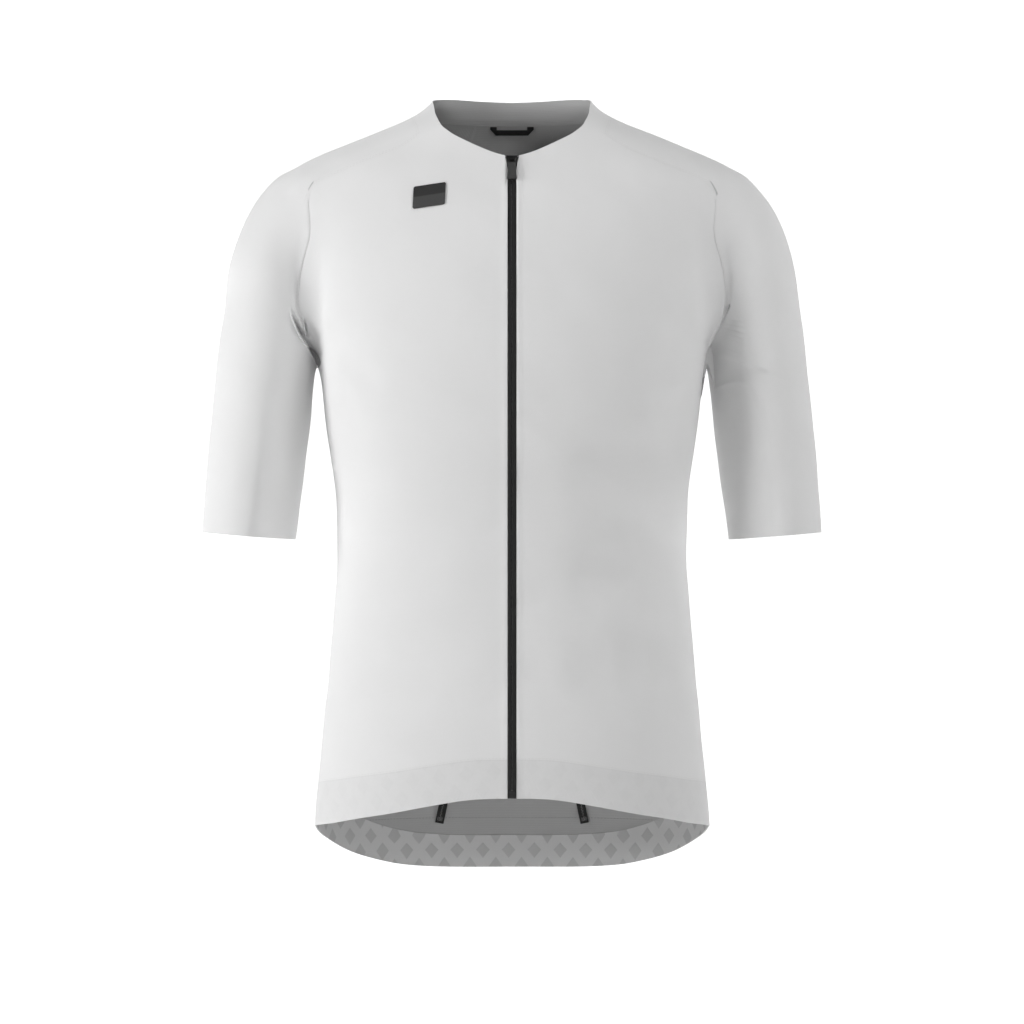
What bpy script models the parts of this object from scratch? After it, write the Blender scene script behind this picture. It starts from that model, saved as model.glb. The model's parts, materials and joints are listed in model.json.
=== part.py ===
"""Short-sleeved cycling jersey with a full-length zip, filled out as when it is worn.

Metres, +Z up, the front faces -Y and the wearer's left is at +X. The origin is the middle of the neck,
at the height at which the shoulders carry the jersey.

Every panel is a patch of one smooth outer form, a body and two arms blended into each other. The seams
are curves on that form, and the two panels at a seam share its points, each drawn in by half of the gap.
"""

import math
from collections import namedtuple

import bpy
import numpy as np
from mathutils import Vector
from mathutils.bvhtree import BVHTree

# ---- Cloth and trim ----
WALL = 0.0012
BAND_WALL = 0.0016
TRIM_WALL = 0.0010
SEAM_GAP = 0.0003
LAY_GAP = 0.0004

# ---- The outer form: level sections of the body, from the tail up to the collar ----
Section = namedtuple("Section", "z half_width front back squareness")
BODY = (
    Section(z=-0.720, half_width=0.1770, front=0.106, back=0.109, squareness=2.30),
    Section(z=-0.629, half_width=0.1772, front=0.105, back=0.111, squareness=2.30),
    Section(z=-0.593, half_width=0.1748, front=0.104, back=0.110, squareness=2.30),
    Section(z=-0.539, half_width=0.1693, front=0.103, back=0.105, squareness=2.30),
    Section(z=-0.485, half_width=0.1643, front=0.102, back=0.097, squareness=2.30),
    Section(z=-0.431, half_width=0.1595, front=0.101, back=0.091, squareness=2.25),
    Section(z=-0.376, half_width=0.1570, front=0.103, back=0.091, squareness=2.25),
    Section(z=-0.344, half_width=0.1576, front=0.105, back=0.094, squareness=2.25),
    Section(z=-0.279, half_width=0.1656, front=0.111, back=0.104, squareness=2.30),
    Section(z=-0.225, half_width=0.1724, front=0.113, back=0.111, squareness=2.30),
    Section(z=-0.180, half_width=0.1775, front=0.110, back=0.113, squareness=2.30),
    Section(z=-0.130, half_width=0.1870, front=0.102, back=0.110, squareness=2.25),
    Section(z=-0.085, half_width=0.2010, front=0.089, back=0.102, squareness=2.15),
    Section(z=-0.055, half_width=0.2045, front=0.0775, back=0.093, squareness=2.10),
    Section(z=-0.040, half_width=0.1920, front=0.0715, back=0.087, squareness=2.05),
    Section(z=-0.029, half_width=0.1755, front=0.0670, back=0.083, squareness=2.00),
    Section(z=-0.018, half_width=0.1510, front=0.0635, back=0.0785, squareness=2.00),
    Section(z=-0.007, half_width=0.1235, front=0.0610, back=0.0735, squareness=2.00),
    Section(z=0.000, half_width=0.1060, front=0.0595, back=0.0700, squareness=2.00),
    Section(z=0.007, half_width=0.0910, front=0.0585, back=0.0665, squareness=2.00),
    Section(z=0.014, half_width=0.0795, front=0.0580, back=0.0640, squareness=2.00),
    Section(z=0.022, half_width=0.0715, front=0.0580, back=0.0625, squareness=2.00),
    Section(z=0.030, half_width=0.0690, front=0.0580, back=0.0620, squareness=2.00),
    Section(z=0.060, half_width=0.0680, front=0.0580, back=0.0620, squareness=2.00),
)

# ---- The arms: a tube along a tilted axis, closed by a cap at the shoulder ----
ARM_TOP = (0.2147, 0.004, -0.150)
ARM_OUT = 0.101
ARM_FORWARD = 0.035
ARM_CAP = 0.094
ArmSection = namedtuple("ArmSection", "z half_width half_depth")
ARM = (
    ArmSection(z=-0.230, half_width=0.0412, half_depth=0.0485),
    ArmSection(z=-0.215, half_width=0.0417, half_depth=0.0490),
    ArmSection(z=-0.150, half_width=0.0437, half_depth=0.0510),
    ArmSection(z=-0.075, half_width=0.0441, half_depth=0.0530),
    ArmSection(z=0.000, half_width=0.0425, half_depth=0.0540),
)

# ---- How softly the arm runs into the body, by height ----
Blend = namedtuple("Blend", "z reach")
BLEND = (
    Blend(z=-0.240, reach=0.008),
    Blend(z=-0.215, reach=0.008),
    Blend(z=-0.185, reach=0.018),
    Blend(z=-0.120, reach=0.034),
    Blend(z=-0.060, reach=0.045),
    Blend(z=0.000, reach=0.030),
)

# ---- Seams and edges on the +X half. side: -1 front, 0 the outline, 1 back ----
Mark = namedtuple("Mark", "x z side")
ZIP_EDGE = 0.0039
ZIP_MOUTH = 0.0064
NECK_FRONT_Z = -0.034
NECKLINE_FRONT = (
    Mark(x=ZIP_MOUTH, z=NECK_FRONT_Z, side=-1),
    Mark(x=0.0185, z=-0.0300, side=-1),
    Mark(x=0.0362, z=-0.0220, side=-1),
    Mark(x=0.0535, z=-0.0128, side=-1),
    Mark(x=0.0626, z=-0.0049, side=-1),
)
NECKLINE_TONGUE = (
    Mark(x=0.0626, z=-0.0049, side=-1),
    Mark(x=0.0680, z=0.0060, side=-1),
    Mark(x=0.0702, z=0.0160, side=-1),
    Mark(x=0.0695, z=0.0222, side=0),
    Mark(x=0.0655, z=0.0262, side=1),
)
NECKLINE_BACK = (
    Mark(x=0.0655, z=0.0262, side=1),
    Mark(x=0.0500, z=0.0286, side=1),
    Mark(x=0.0260, z=0.0287, side=1),
    Mark(x=0.0000, z=0.0283, side=1),
)
COLLAR_SEAM_FRONT = (
    Mark(x=0.0825, z=-0.0117, side=-1),
    Mark(x=0.0865, z=-0.0010, side=-1),
    Mark(x=0.0880, z=0.0086, side=0),
    Mark(x=0.0835, z=0.0096, side=1),
)
COLLAR_SEAM_BACK = (
    Mark(x=0.0835, z=0.0096, side=1),
    Mark(x=0.0730, z=0.0088, side=1),
    Mark(x=0.0540, z=0.0082, side=1),
    Mark(x=0.0340, z=0.0080, side=1),
)
COLLAR_SEAM_MIDDLE = (
    Mark(x=0.0340, z=0.0080, side=1),
    Mark(x=0.0170, z=0.0079, side=1),
    Mark(x=0.0000, z=0.0079, side=1),
)
CREASE_RUN = (0.009, 0.018, 0.027)
ARMHOLE_FRONT = (
    Mark(x=0.1890, z=-0.1708, side=-1),
    Mark(x=0.1897, z=-0.1479, side=-1),
    Mark(x=0.1850, z=-0.1224, side=-1),
    Mark(x=0.1790, z=-0.1000, side=-1),
    Mark(x=0.1805, z=-0.0760, side=-1),
    Mark(x=0.1790, z=-0.0611, side=-1),
    Mark(x=0.1665, z=-0.0510, side=-1),
    Mark(x=0.1328, z=-0.0372, side=-1),
    Mark(x=0.0956, z=-0.0215, side=-1),
    Mark(x=0.0825, z=-0.0117, side=-1),
)
RAGLAN_BACK = (
    Mark(x=0.1620, z=-0.1745, side=1),
    Mark(x=0.1450, z=-0.1570, side=1),
    Mark(x=0.1130, z=-0.1180, side=1),
    Mark(x=0.0820, z=-0.0800, side=1),
    Mark(x=0.0570, z=-0.0430, side=1),
    Mark(x=0.0400, z=-0.0080, side=1),
    Mark(x=0.0340, z=0.0080, side=1),
)
SHOULDER_LINE = (
    Mark(x=0.2782, z=-0.3655, side=0),
    Mark(x=0.2745, z=-0.3000, side=0),
    Mark(x=0.2685, z=-0.2466, side=0),
    Mark(x=0.2620, z=-0.2000, side=0),
    Mark(x=0.2575, z=-0.1600, side=0),
    Mark(x=0.2490, z=-0.1130, side=0),
    Mark(x=0.2380, z=-0.0830, side=0),
    Mark(x=0.2172, z=-0.0520, side=0),
    Mark(x=0.1790, z=-0.0288, side=0),
    Mark(x=0.1430, z=-0.0144, side=0),
    Mark(x=0.1150, z=-0.0036, side=0),
    Mark(x=0.0880, z=0.0086, side=0),
)
CUFF_IN = (0.1949, -0.3722)
ARMPIT_OUTER_Z = -0.196
FRONT_ROW_AT_ARMPIT = (0.75, -0.222)

# ---- The hem, from the zip round the side to the middle of the tail ----
Hem = namedtuple("Hem", "x z band side")
HEM_FRONT = (
    Hem(x=0.0039, z=-0.5965, band=0.0340, side=-1),
    Hem(x=0.0350, z=-0.5975, band=0.0345, side=-1),
    Hem(x=0.0700, z=-0.6033, band=0.0350, side=-1),
    Hem(x=0.1050, z=-0.6105, band=0.0360, side=-1),
    Hem(x=0.1350, z=-0.6163, band=0.0370, side=-1),
    Hem(x=0.1600, z=-0.6225, band=0.0380, side=-1),
    Hem(x=0.1772, z=-0.6300, band=0.0390, side=0),
)
HEM_BACK = (
    Hem(x=0.1772, z=-0.6300, band=0.0390, side=0),
    Hem(x=0.1704, z=-0.6432, band=0.0380, side=1),
    Hem(x=0.1543, z=-0.6565, band=0.0360, side=1),
    Hem(x=0.1356, z=-0.6654, band=0.0340, side=1),
    Hem(x=0.1027, z=-0.6743, band=0.0315, side=1),
    Hem(x=0.0600, z=-0.6778, band=0.0300, side=1),
    Hem(x=0.0000, z=-0.6783, band=0.0295, side=1),
)

# ---- How finely the panels are divided ----
SIDE_ROWS = 14
ARMHOLE_ROWS = 17
CUFF_ROWS = 9
BAND_ROWS = 2
NECK_COLUMNS = 9
TONGUE_COLUMNS = 3
FRONT_COLUMNS = NECK_COLUMNS + TONGUE_COLUMNS
TONGUE_ROWS = 10
BACK_COLUMNS = 18
SLEEVE_COLUMNS = 2 * TONGUE_ROWS
COLLAR_ROWS = 3

# ---- Soft folds, as troughs (depth > 0) and swells (depth < 0) along a line ----
Fold = namedtuple("Fold", "x0 z0 x1 z1 width depth side")
FOLDS = (
    Fold(x0=0.120, z0=-0.229, x1=0.164, z1=-0.195, width=0.013, depth=0.0020, side=-1),
    Fold(x0=0.128, z0=-0.265, x1=0.170, z1=-0.228, width=0.014, depth=0.0014, side=-1),
    Fold(x0=-0.122, z0=-0.236, x1=-0.164, z1=-0.194, width=0.013, depth=0.0024, side=-1),
    Fold(x0=-0.135, z0=-0.275, x1=-0.170, z1=-0.236, width=0.014, depth=0.0015, side=-1),
    Fold(x0=0.070, z0=-0.300, x1=0.150, z1=-0.345, width=0.030, depth=0.0024, side=-1),
    Fold(x0=0.060, z0=-0.405, x1=0.145, z1=-0.385, width=0.026, depth=0.0022, side=-1),
    Fold(x0=0.060, z0=-0.500, x1=0.135, z1=-0.470, width=0.030, depth=0.0022, side=-1),
    Fold(x0=-0.070, z0=-0.390, x1=-0.150, z1=-0.350, width=0.030, depth=0.0018, side=-1),
    Fold(x0=-0.060, z0=-0.480, x1=-0.140, z1=-0.455, width=0.028, depth=0.0016, side=-1),
    Fold(x0=-0.110, z0=-0.372, x1=0.110, z1=-0.380, width=0.020, depth=0.0026, side=1),
    Fold(x0=-0.090, z0=-0.412, x1=0.125, z1=-0.404, width=0.018, depth=0.0020, side=1),
    Fold(x0=0.085, z0=-0.262, x1=0.142, z1=-0.216, width=0.018, depth=0.0024, side=1),
    Fold(x0=-0.090, z0=-0.272, x1=-0.144, z1=-0.218, width=0.018, depth=0.0024, side=1),
)

# ---- Pockets, and the tapes behind their dividers ----
POCKET_FIRST_COLUMN = 2
POCKET_TOP_Z = -0.440
POCKET_FOOT_ABOVE_BAND = 0.013
POCKET_GAPE = 0.0022
POCKET_GAPE_BELOW = 0.35
TAPE_WIDTH = 0.0078
TapePoint = namedtuple("TapePoint", "x z")
POCKET_TAPE = (
    TapePoint(x=0.0679, z=-0.6370),
    TapePoint(x=0.0643, z=-0.6200),
    TapePoint(x=0.0604, z=-0.6000),
    TapePoint(x=0.0548, z=-0.5650),
    TapePoint(x=0.0500, z=-0.5200),
    TapePoint(x=0.0460, z=-0.4500),
)
TAPE_STEPS = 14

# ---- Zip ----
ZIP_TAPE_INNER = 0.0005
ZIP_TAPE_OUTER = 0.0125
CHAIN_HALF_WIDTH = 0.0028
CHAIN_PROUD = 0.0006
CHAIN_SHORTEST_ROW = 0.004
SLIDER_TOP_Z = -0.0345
SLIDER_LENGTH = 0.0100
SLIDER_TOP_HALF = 0.0055
SLIDER_FOOT_HALF = 0.0033
SLIDER_SHOULDER = (0.25, 0.0053)
SLIDER_WAIST = (0.70, 0.0040)
SLIDER_PROUD = 0.0019
SLIDER_SUNK = 0.0012
BRIDGE_HALF = 0.0011
BRIDGE_START = 0.0012
BRIDGE_END = 0.0060
BRIDGE_THICK = 0.0009
BRIDGE_PROUD = 0.0050
BRIDGE_ROOT = 0.0004
PULL_AXIS_DOWN = 0.0036
PULL_AXIS_PROUD = 0.0030
PULL_BAR_HALF = 0.0006
PULL_ARM_INNER = 0.0015
PULL_ARM_OUTER = 0.0033
PULL_HALF_WIDTH = 0.00405
PULL_SHOULDER = 0.0034
PULL_LENGTH = 0.0196
PULL_THICK = 0.0014
PULL_LIP = 0.0016
PULL_LIP_THICK = 0.0026
PULL_LEAN = math.radians(1.5)
BOX_LENGTH = 0.0070
BOX_HALF = 0.0033
BOX_PROUD = 0.0010
BOX_RISE = 0.0002

# ---- Label on the chest and hanger loop inside the neck ----
LABEL_CENTRE = (-0.0723, -0.0705)
LABEL_ACROSS = (0.0279, 0.0040)
LABEL_DOWN = (-0.0008, -0.0199)
LABEL_STEPS = (4, 3)
LOOP_HALF_WIDTH = 0.0200
LOOP_TAPE = 0.0060
LOOP_TOP_Z = 0.0066
LOOP_DROP = 0.0072
LOOP_BAR = 0.0045
LOOP_CHAMFER = 0.0050
LOOP_MIDDLE = 0.0047

# ---- Finishes: colour, roughness, metallic ----
Finish = namedtuple("Finish", "colour roughness metallic")
FINISHES = {
    "knit": Finish(colour=(0.80, 0.80, 0.80), roughness=0.62, metallic=0.0),
    "band": Finish(colour=(0.76, 0.76, 0.76), roughness=0.50, metallic=0.0),
    "black_tape": Finish(colour=(0.012, 0.012, 0.012), roughness=0.70, metallic=0.0),
    "zip_elements": Finish(colour=(0.010, 0.010, 0.010), roughness=0.35, metallic=0.0),
    "slider_metal": Finish(colour=(0.015, 0.015, 0.015), roughness=0.30, metallic=0.9),
    "pull_rubber": Finish(colour=(0.045, 0.045, 0.045), roughness=0.55, metallic=0.0),
    "label": Finish(colour=(0.040, 0.040, 0.040), roughness=0.60, metallic=0.0),
}

FOLD_RUN_OUT = 0.25
PROBE = 1e-5
NEWTON_STEPS = 10
SETTLING_STEPS = 3
RELAXING_STEPS = 2
RELAX_ROUNDS = 30
TONGUE_ROUNDS = 10
SLEEVE_ROUNDS = 12
COLLAR_ROUNDS = 10
BAND_ROUNDS = 5
SPLINE_STEPS = 16
SIDE_SEAM_PROBES = 60
SAME_POINT = 1e-7
BEYOND_FORM = 0.2
BEFORE_FRONT = -0.3
INSIDE_Y = 0.0
LONGEST_STEP = 0.020
BISECTIONS = 50
CREASE_X = (0.160, 0.195)
CREASE_Z = (-0.240, -0.150)
CREASE_PROBES = 141
RAY_START, RAY_END = 0.004, 0.140
RAY_PROBES = 90
RAY_CROWDING = 4
FACING_SIDE = 0.020
SHADE_ANGLE = math.radians(40)


# ==== Curves and tables ====


def column(table, name):
    return np.array([getattr(row, name) for row in table])


def along(heights, table, name):
    """A column of a table at any height, by a cubic that never overshoots its rows."""
    z = column(table, "z")
    value = column(table, name)
    step = np.diff(z)
    slope = np.diff(value) / step
    before, after = slope[:-1], slope[1:]
    total = before + after
    same = before * after > 0
    lean = np.zeros(len(z))
    lean[1:-1][same] = 2 * before[same] * after[same] / total[same]
    i = np.clip(np.searchsorted(z, heights) - 1, 0, len(z) - 2)
    t = np.clip((heights - z[i]) / step[i], 0, 1)
    straight = value[i] * (1 - t) ** 2 * (1 + 2 * t) + value[i + 1] * t**2 * (3 - 2 * t)
    bent = lean[i] * t * (1 - t) ** 2 - lean[i + 1] * t**2 * (1 - t)
    return straight + step[i] * bent


def unit(vectors):
    size = np.linalg.norm(vectors, axis=-1, keepdims=True)
    return vectors / np.maximum(size, 1e-12)


def spline(points, steps=SPLINE_STEPS):
    """A smooth curve through points, with many points on it."""
    points = np.asarray(points, float)
    padded = np.vstack([2 * points[0] - points[1], points, 2 * points[-1] - points[-2]])
    curve = []
    for a, b, c, d in zip(padded, padded[1:], padded[2:], padded[3:]):
        square, cube = 2 * a - 5 * b + 4 * c - d, 3 * b - a - 3 * c + d
        for t in np.arange(steps) / steps:
            curve.append(0.5 * (2 * b + (c - a) * t + square * t**2 + cube * t**3))
    curve.append(points[-1])
    return np.array(curve)


def spaced(curve, count):
    """A curve's points respaced to count equal steps."""
    run = np.concatenate([[0], np.cumsum(np.linalg.norm(np.diff(curve, axis=0), axis=1))])
    at = np.linspace(0, run[-1], count + 1)
    return np.stack([np.interp(at, run, curve[:, k]) for k in range(3)], axis=1)


# ==== The outer form ====


def body_level(p):
    x, y, z = np.abs(p[..., 0]), p[..., 1], p[..., 2]
    depth = np.where(y < 0, along(z, BODY, "front"), along(z, BODY, "back"))
    power = along(z, BODY, "squareness")
    sideways = (x / along(z, BODY, "half_width")) ** power
    return (sideways + (np.abs(y) / depth) ** power) ** (1 / power)


def arm_level(p):
    mirrored = np.stack([np.abs(p[..., 0]), p[..., 1], p[..., 2]], axis=-1)
    offset = mirrored - np.array(ARM_TOP)
    down = unit(np.array([ARM_OUT, -ARM_FORWARD, -1.0]))
    out = unit(np.array([1.0, 0.0, ARM_OUT]))
    fore = np.cross(down, out)
    s = offset @ down
    wide = (offset @ out) / along(-s, ARM, "half_width")
    deep = (offset @ fore) / along(-s, ARM, "half_depth")
    cap = np.minimum(s, 0) / ARM_CAP
    return np.sqrt(wide**2 + deep**2 + cap**2)


def nearness(level, p):
    """The first-order distance to where a level is 1, and the direction in which the level grows."""
    slope = np.stack(
        [(level(p + step) - level(p - step)) / (2 * PROBE) for step in PROBE * np.eye(3)], axis=-1
    )
    size = np.maximum(np.linalg.norm(slope, axis=-1), 1e-9)
    return (level(p) - 1) / size, slope / size[..., None]


def form(p):
    """Distance outside the form, negative inside, and the outward direction."""
    body, body_out = nearness(body_level, p)
    arm, arm_out = nearness(arm_level, p)
    reach = along(p[..., 2], BLEND, "reach")
    share = np.clip(0.5 + 0.5 * (body - arm) / reach, 0, 1)
    distance = body * (1 - share) + arm * share - reach * share * (1 - share)
    out = unit(body_out * (1 - share)[..., None] + arm_out * share[..., None])
    return distance, out


def onto_form(p, steps=NEWTON_STEPS):
    p = np.array(p, float)
    for _ in range(steps):
        distance, out = form(p)
        p = p - np.clip(distance, -LONGEST_STEP, LONGEST_STEP)[..., None] * out
    return p


def from_side(x, z, side):
    """The point of the form at x and z on the front (-1) or back (1), or at the outline (0)."""
    if side == 0:
        return onto_form([x, 0.0, z])
    inside, outside = INSIDE_Y, BEYOND_FORM * side
    for _ in range(BISECTIONS):
        middle = (inside + outside) / 2
        if form(np.array([x, middle, z]))[0] < 0:
            inside = middle
        else:
            outside = middle
    return np.array([x, outside, z])


def curve_of(marks, count):
    """A seam through marks, on the form, in equal steps."""
    ends = [from_side(m.x, m.z, m.side) for m in (marks[0], marks[-1])]
    points = spline([from_side(m.x, m.z, m.side) for m in marks])
    points = spaced(onto_form(points), count)
    points = onto_form(points)
    points[0], points[-1] = ends
    return points


def crease(y):
    """The highest point of the gap between the arm and the body, at a distance behind the armpit."""
    x = np.linspace(*CREASE_X, CREASE_PROBES)
    low, high = CREASE_Z
    for _ in range(BISECTIONS):
        z = (low + high) / 2
        row = np.stack([x, np.full_like(x, y), np.full_like(x, z)], axis=-1)
        distance = form(row)[0]
        if distance.max() > 0:
            low, best = z, x[distance.argmax()]
        else:
            high = z
    return np.array([best, y, low])


def folds(p, out):
    """How far the cloth sinks at each point."""
    sunk = np.zeros(p.shape[:-1])
    for f in FOLDS:
        start = np.array([f.x0, f.z0])
        run = np.array([f.x1, f.z1]) - start
        offset = p[..., [0, 2]] - start
        t = (offset @ run) / (run @ run)
        off = np.linalg.norm(offset - np.clip(t, 0, 1)[..., None] * run, axis=-1)
        facing = np.clip(out[..., 1] * f.side, 0, 1)
        fade = np.clip((np.minimum(t, 1 - t) + FOLD_RUN_OUT) / (2 * FOLD_RUN_OUT), 0, 1)
        fade = fade * fade * (3 - 2 * fade)
        sunk += f.depth * np.exp(-((off / f.width) ** 2)) * fade * facing
    return sunk


# ==== Patches ====


def coons(bottom, top, left, right):
    """A grid between four curves. bottom and top run from left to right, left and right upwards."""
    v, u = np.meshgrid(
        np.linspace(0, 1, len(left)), np.linspace(0, 1, len(bottom)), indexing="ij"
    )
    u, v = u[..., None], v[..., None]
    across = left[:, None] * (1 - u) + right[:, None] * u
    upward = bottom[None] * (1 - v) + top[None] * v
    corners = (bottom[0] * (1 - u) + bottom[-1] * u) * (1 - v) + (top[0] * (1 - u) + top[-1] * u) * v
    return across + upward - corners


def relax(grid, rounds):
    """Evens out a grid's inner points on the form."""
    for _ in range(rounds):
        mean = (grid[:-2, 1:-1] + grid[2:, 1:-1] + grid[1:-1, :-2] + grid[1:-1, 2:]) / 4
        grid[1:-1, 1:-1] = onto_form(mean, RELAXING_STEPS)
    return grid


def patch(bottom, top, left, right, rounds=RELAX_ROUNDS):
    grid = coons(bottom, top, left, right)
    grid[1:-1, 1:-1] = onto_form(grid[1:-1, 1:-1])
    return relax(grid, rounds)


def drawn_in(edge, inner):
    """Moves an edge along the form towards the next row of its grid by half the gap, square to the seam."""
    across = unit(np.cross(form(edge)[1], np.gradient(edge, axis=0)))
    towards = np.sign((across * (inner - edge)).sum(axis=-1, keepdims=True))
    return edge + 0.5 * SEAM_GAP * towards * across


def mirror(grid):
    return grid * np.array([-1.0, 1.0, 1.0])


def ray_row(centre, first, second, start, stop):
    """A row of the sleeve: where rays from an inner point leave the form, in equal steps of length."""
    angles = np.linspace(start, stop, RAY_CROWDING * SLEEVE_COLUMNS + 1)
    ways = np.cos(angles)[:, None] * first + np.sin(angles)[:, None] * second
    reach = np.linspace(RAY_START, RAY_END, RAY_PROBES)
    outside = form(centre + ways[:, None] * reach[None, :, None])[0] > 0
    hit = outside.argmax(axis=1)
    near, far = reach[np.maximum(hit - 1, 0)], reach[hit]
    for _ in range(NEWTON_STEPS):
        middle = (near + far) / 2
        is_out = form(centre + ways * middle[:, None])[0] > 0
        far = np.where(is_out, middle, far)
        near = np.where(is_out, near, middle)
    row = centre + ways * far[:, None]
    even = onto_form(spaced(row, SLEEVE_COLUMNS), SETTLING_STEPS)
    even[0], even[-1] = row[0], row[-1]
    return even


# ==== Meshes ====


def triangles(quads, points):
    """Each quad cut along its shorter diagonal."""
    faces = []
    for a, b, c, d in quads:
        if np.linalg.norm(points[a] - points[c]) <= np.linalg.norm(points[b] - points[d]):
            faces += [(a, b, c), (a, c, d)]
        else:
            faces += [(a, b, d), (b, c, d)]
    return [f for f in faces if len(set(f)) == 3]


def weld(grids):
    """One list of points for several grids, with the quads that join them."""
    index, points, quads = {}, [], []
    for grid in grids:
        ids = np.empty(grid.shape[:2], int)
        for i, j in np.ndindex(ids.shape):
            key = tuple(np.round(grid[i, j] / SAME_POINT).astype(int))
            if key not in index:
                index[key] = len(points)
                points.append(grid[i, j])
            ids[i, j] = index[key]
        for i, j in np.ndindex(ids.shape[0] - 1, ids.shape[1] - 1):
            quads.append((ids[i, j], ids[i, j + 1], ids[i + 1, j + 1], ids[i + 1, j]))
    return np.array(points), quads


def facing(faces, points, out):
    """The faces turned so that they face out."""
    a, b, c = (points[[f[k] for f in faces]] for k in range(3))
    normal = np.cross(b - a, c - a)
    middle = out[[f[0] for f in faces]]
    if (normal * middle).sum() < 0:
        return [f[::-1] for f in faces]
    return faces


def rim(faces):
    """The edges of a sheet that only one face has, in that face's direction."""
    seen = {}
    for f in faces:
        for a, b in zip(f, f[1:] + f[:1]):
            seen[(a, b)] = True
    return [(a, b) for a, b in seen if (b, a) not in seen]


def add_object(name, points, faces, finish):
    mesh = bpy.data.meshes.new(name)
    mesh.from_pydata([tuple(map(float, p)) for p in points], [], [tuple(map(int, f)) for f in faces])
    mesh.validate()
    mesh.materials.append(material(finish))
    obj = bpy.data.objects.new(name, mesh)
    bpy.context.collection.objects.link(obj)
    return obj


def add_sheet(name, outer, inner, quads, out, finish):
    """A wall between two skins that have the same quads."""
    faces = facing(triangles(quads, outer), outer, out)
    count = len(outer)
    inside = [(c + count, b + count, a + count) for a, b, c in faces]
    points = np.vstack([outer, inner])
    edges = triangles([(b, a, a + count, b + count) for a, b in rim(faces)], points)
    obj = add_object(name, points, faces + inside + edges, finish)
    obj.data.shade_smooth()
    obj.data.set_sharp_from_angle(angle=SHADE_ANGLE)
    return obj


def add_panel(name, grids, wall, finish):
    """A panel of cloth on the form: its grids welded, folded and given their wall."""
    points, quads = weld(grids)
    out = form(points)[1]
    outer = points - folds(points, out)[:, None] * out
    return add_sheet(name, outer, outer - wall * out, quads, out, finish)


def material(finish):
    made = bpy.data.materials.get(finish)
    if made:
        return made
    made = bpy.data.materials.new(finish)
    made.use_nodes = True
    shader = made.node_tree.nodes["Principled BSDF"]
    look = FINISHES[finish]
    shader.inputs["Base Color"].default_value = (*look.colour, 1.0)
    shader.inputs["Roughness"].default_value = look.roughness
    shader.inputs["Metallic"].default_value = look.metallic
    made.diffuse_color = (*look.colour, 1.0)
    return made


# ==== The cut: seams of the +X half ====


def hem_curves(table, count):
    """The hem's edge and the seam above its band, in equal steps."""
    edge = [Mark(h.x, h.z, h.side) for h in table]
    seam = [Mark(h.x, h.z + h.band, h.side) for h in table]
    return curve_of(fitted(edge), count), curve_of(fitted(seam), count)


def fitted(marks):
    """Marks with those at the outline moved to the form's own outline."""
    return [Mark(m.x if m.side else float(onto_form([m.x, 0, m.z])[0]), m.z, m.side) for m in marks]


def joined(*curves):
    return np.vstack([curves[0]] + [c[1:] for c in curves[1:]])


def cut_seams():
    """Every seam and edge of the +X half, by name."""
    pit = crease(0.0)
    hem_front, band_front = hem_curves(HEM_FRONT, FRONT_COLUMNS)
    hem_back, band_back = hem_curves(HEM_BACK, BACK_COLUMNS // 2)
    side = side_seam(band_front[-1], pit)
    seams = {
        "hem_front": hem_front,
        "hem_back": hem_back,
        "band_front": band_front,
        "band_back": band_back,
        "side": side,
        "neck_front": curve_of(NECKLINE_FRONT, NECK_COLUMNS),
        "neck_tongue": curve_of(NECKLINE_TONGUE, TONGUE_ROWS),
        "collar_front": curve_of(COLLAR_SEAM_FRONT, TONGUE_ROWS),
        "collar_side": curve_of(COLLAR_SEAM_BACK, TONGUE_ROWS),
        "collar_middle": curve_of(COLLAR_SEAM_MIDDLE, BACK_COLUMNS // 2),
        "neck_back": curve_of(NECKLINE_BACK, TONGUE_ROWS + BACK_COLUMNS // 2),
        "shoulder": onto_form(spline([from_side(m.x, m.z, 0) for m in SHOULDER_LINE])),
    }
    seams["armhole"] = armhole(pit, ARMHOLE_FRONT, -1)
    seams["raglan"] = armhole(pit, RAGLAN_BACK, 1)
    return seams


def side_seam(foot, pit):
    """The seam down the body's own outline, from the band's seam up to the armpit."""
    z = np.linspace(foot[2], pit[2], SIDE_SEAM_PROBES)[1:-1]
    outline = np.stack([along(z, BODY, "half_width"), np.zeros_like(z), z], axis=-1)
    side = spaced(np.vstack([foot, onto_form(outline), pit]), SIDE_ROWS)
    side[1:-1] = onto_form(side[1:-1])
    return side


def armhole(pit, marks, side):
    """A seam from the armpit along the crease, then through marks up to the collar."""
    points = [pit] + [crease(side * run) for run in CREASE_RUN]
    points += [from_side(m.x, m.z, m.side) for m in marks]
    points = onto_form(spaced(onto_form(spline(points)), ARMHOLE_ROWS))
    points[0], points[-1] = pit, from_side(marks[-1].x, marks[-1].z, marks[-1].side)
    return points


# ==== Panels of the +X half, as grids of points on the form ====


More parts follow.
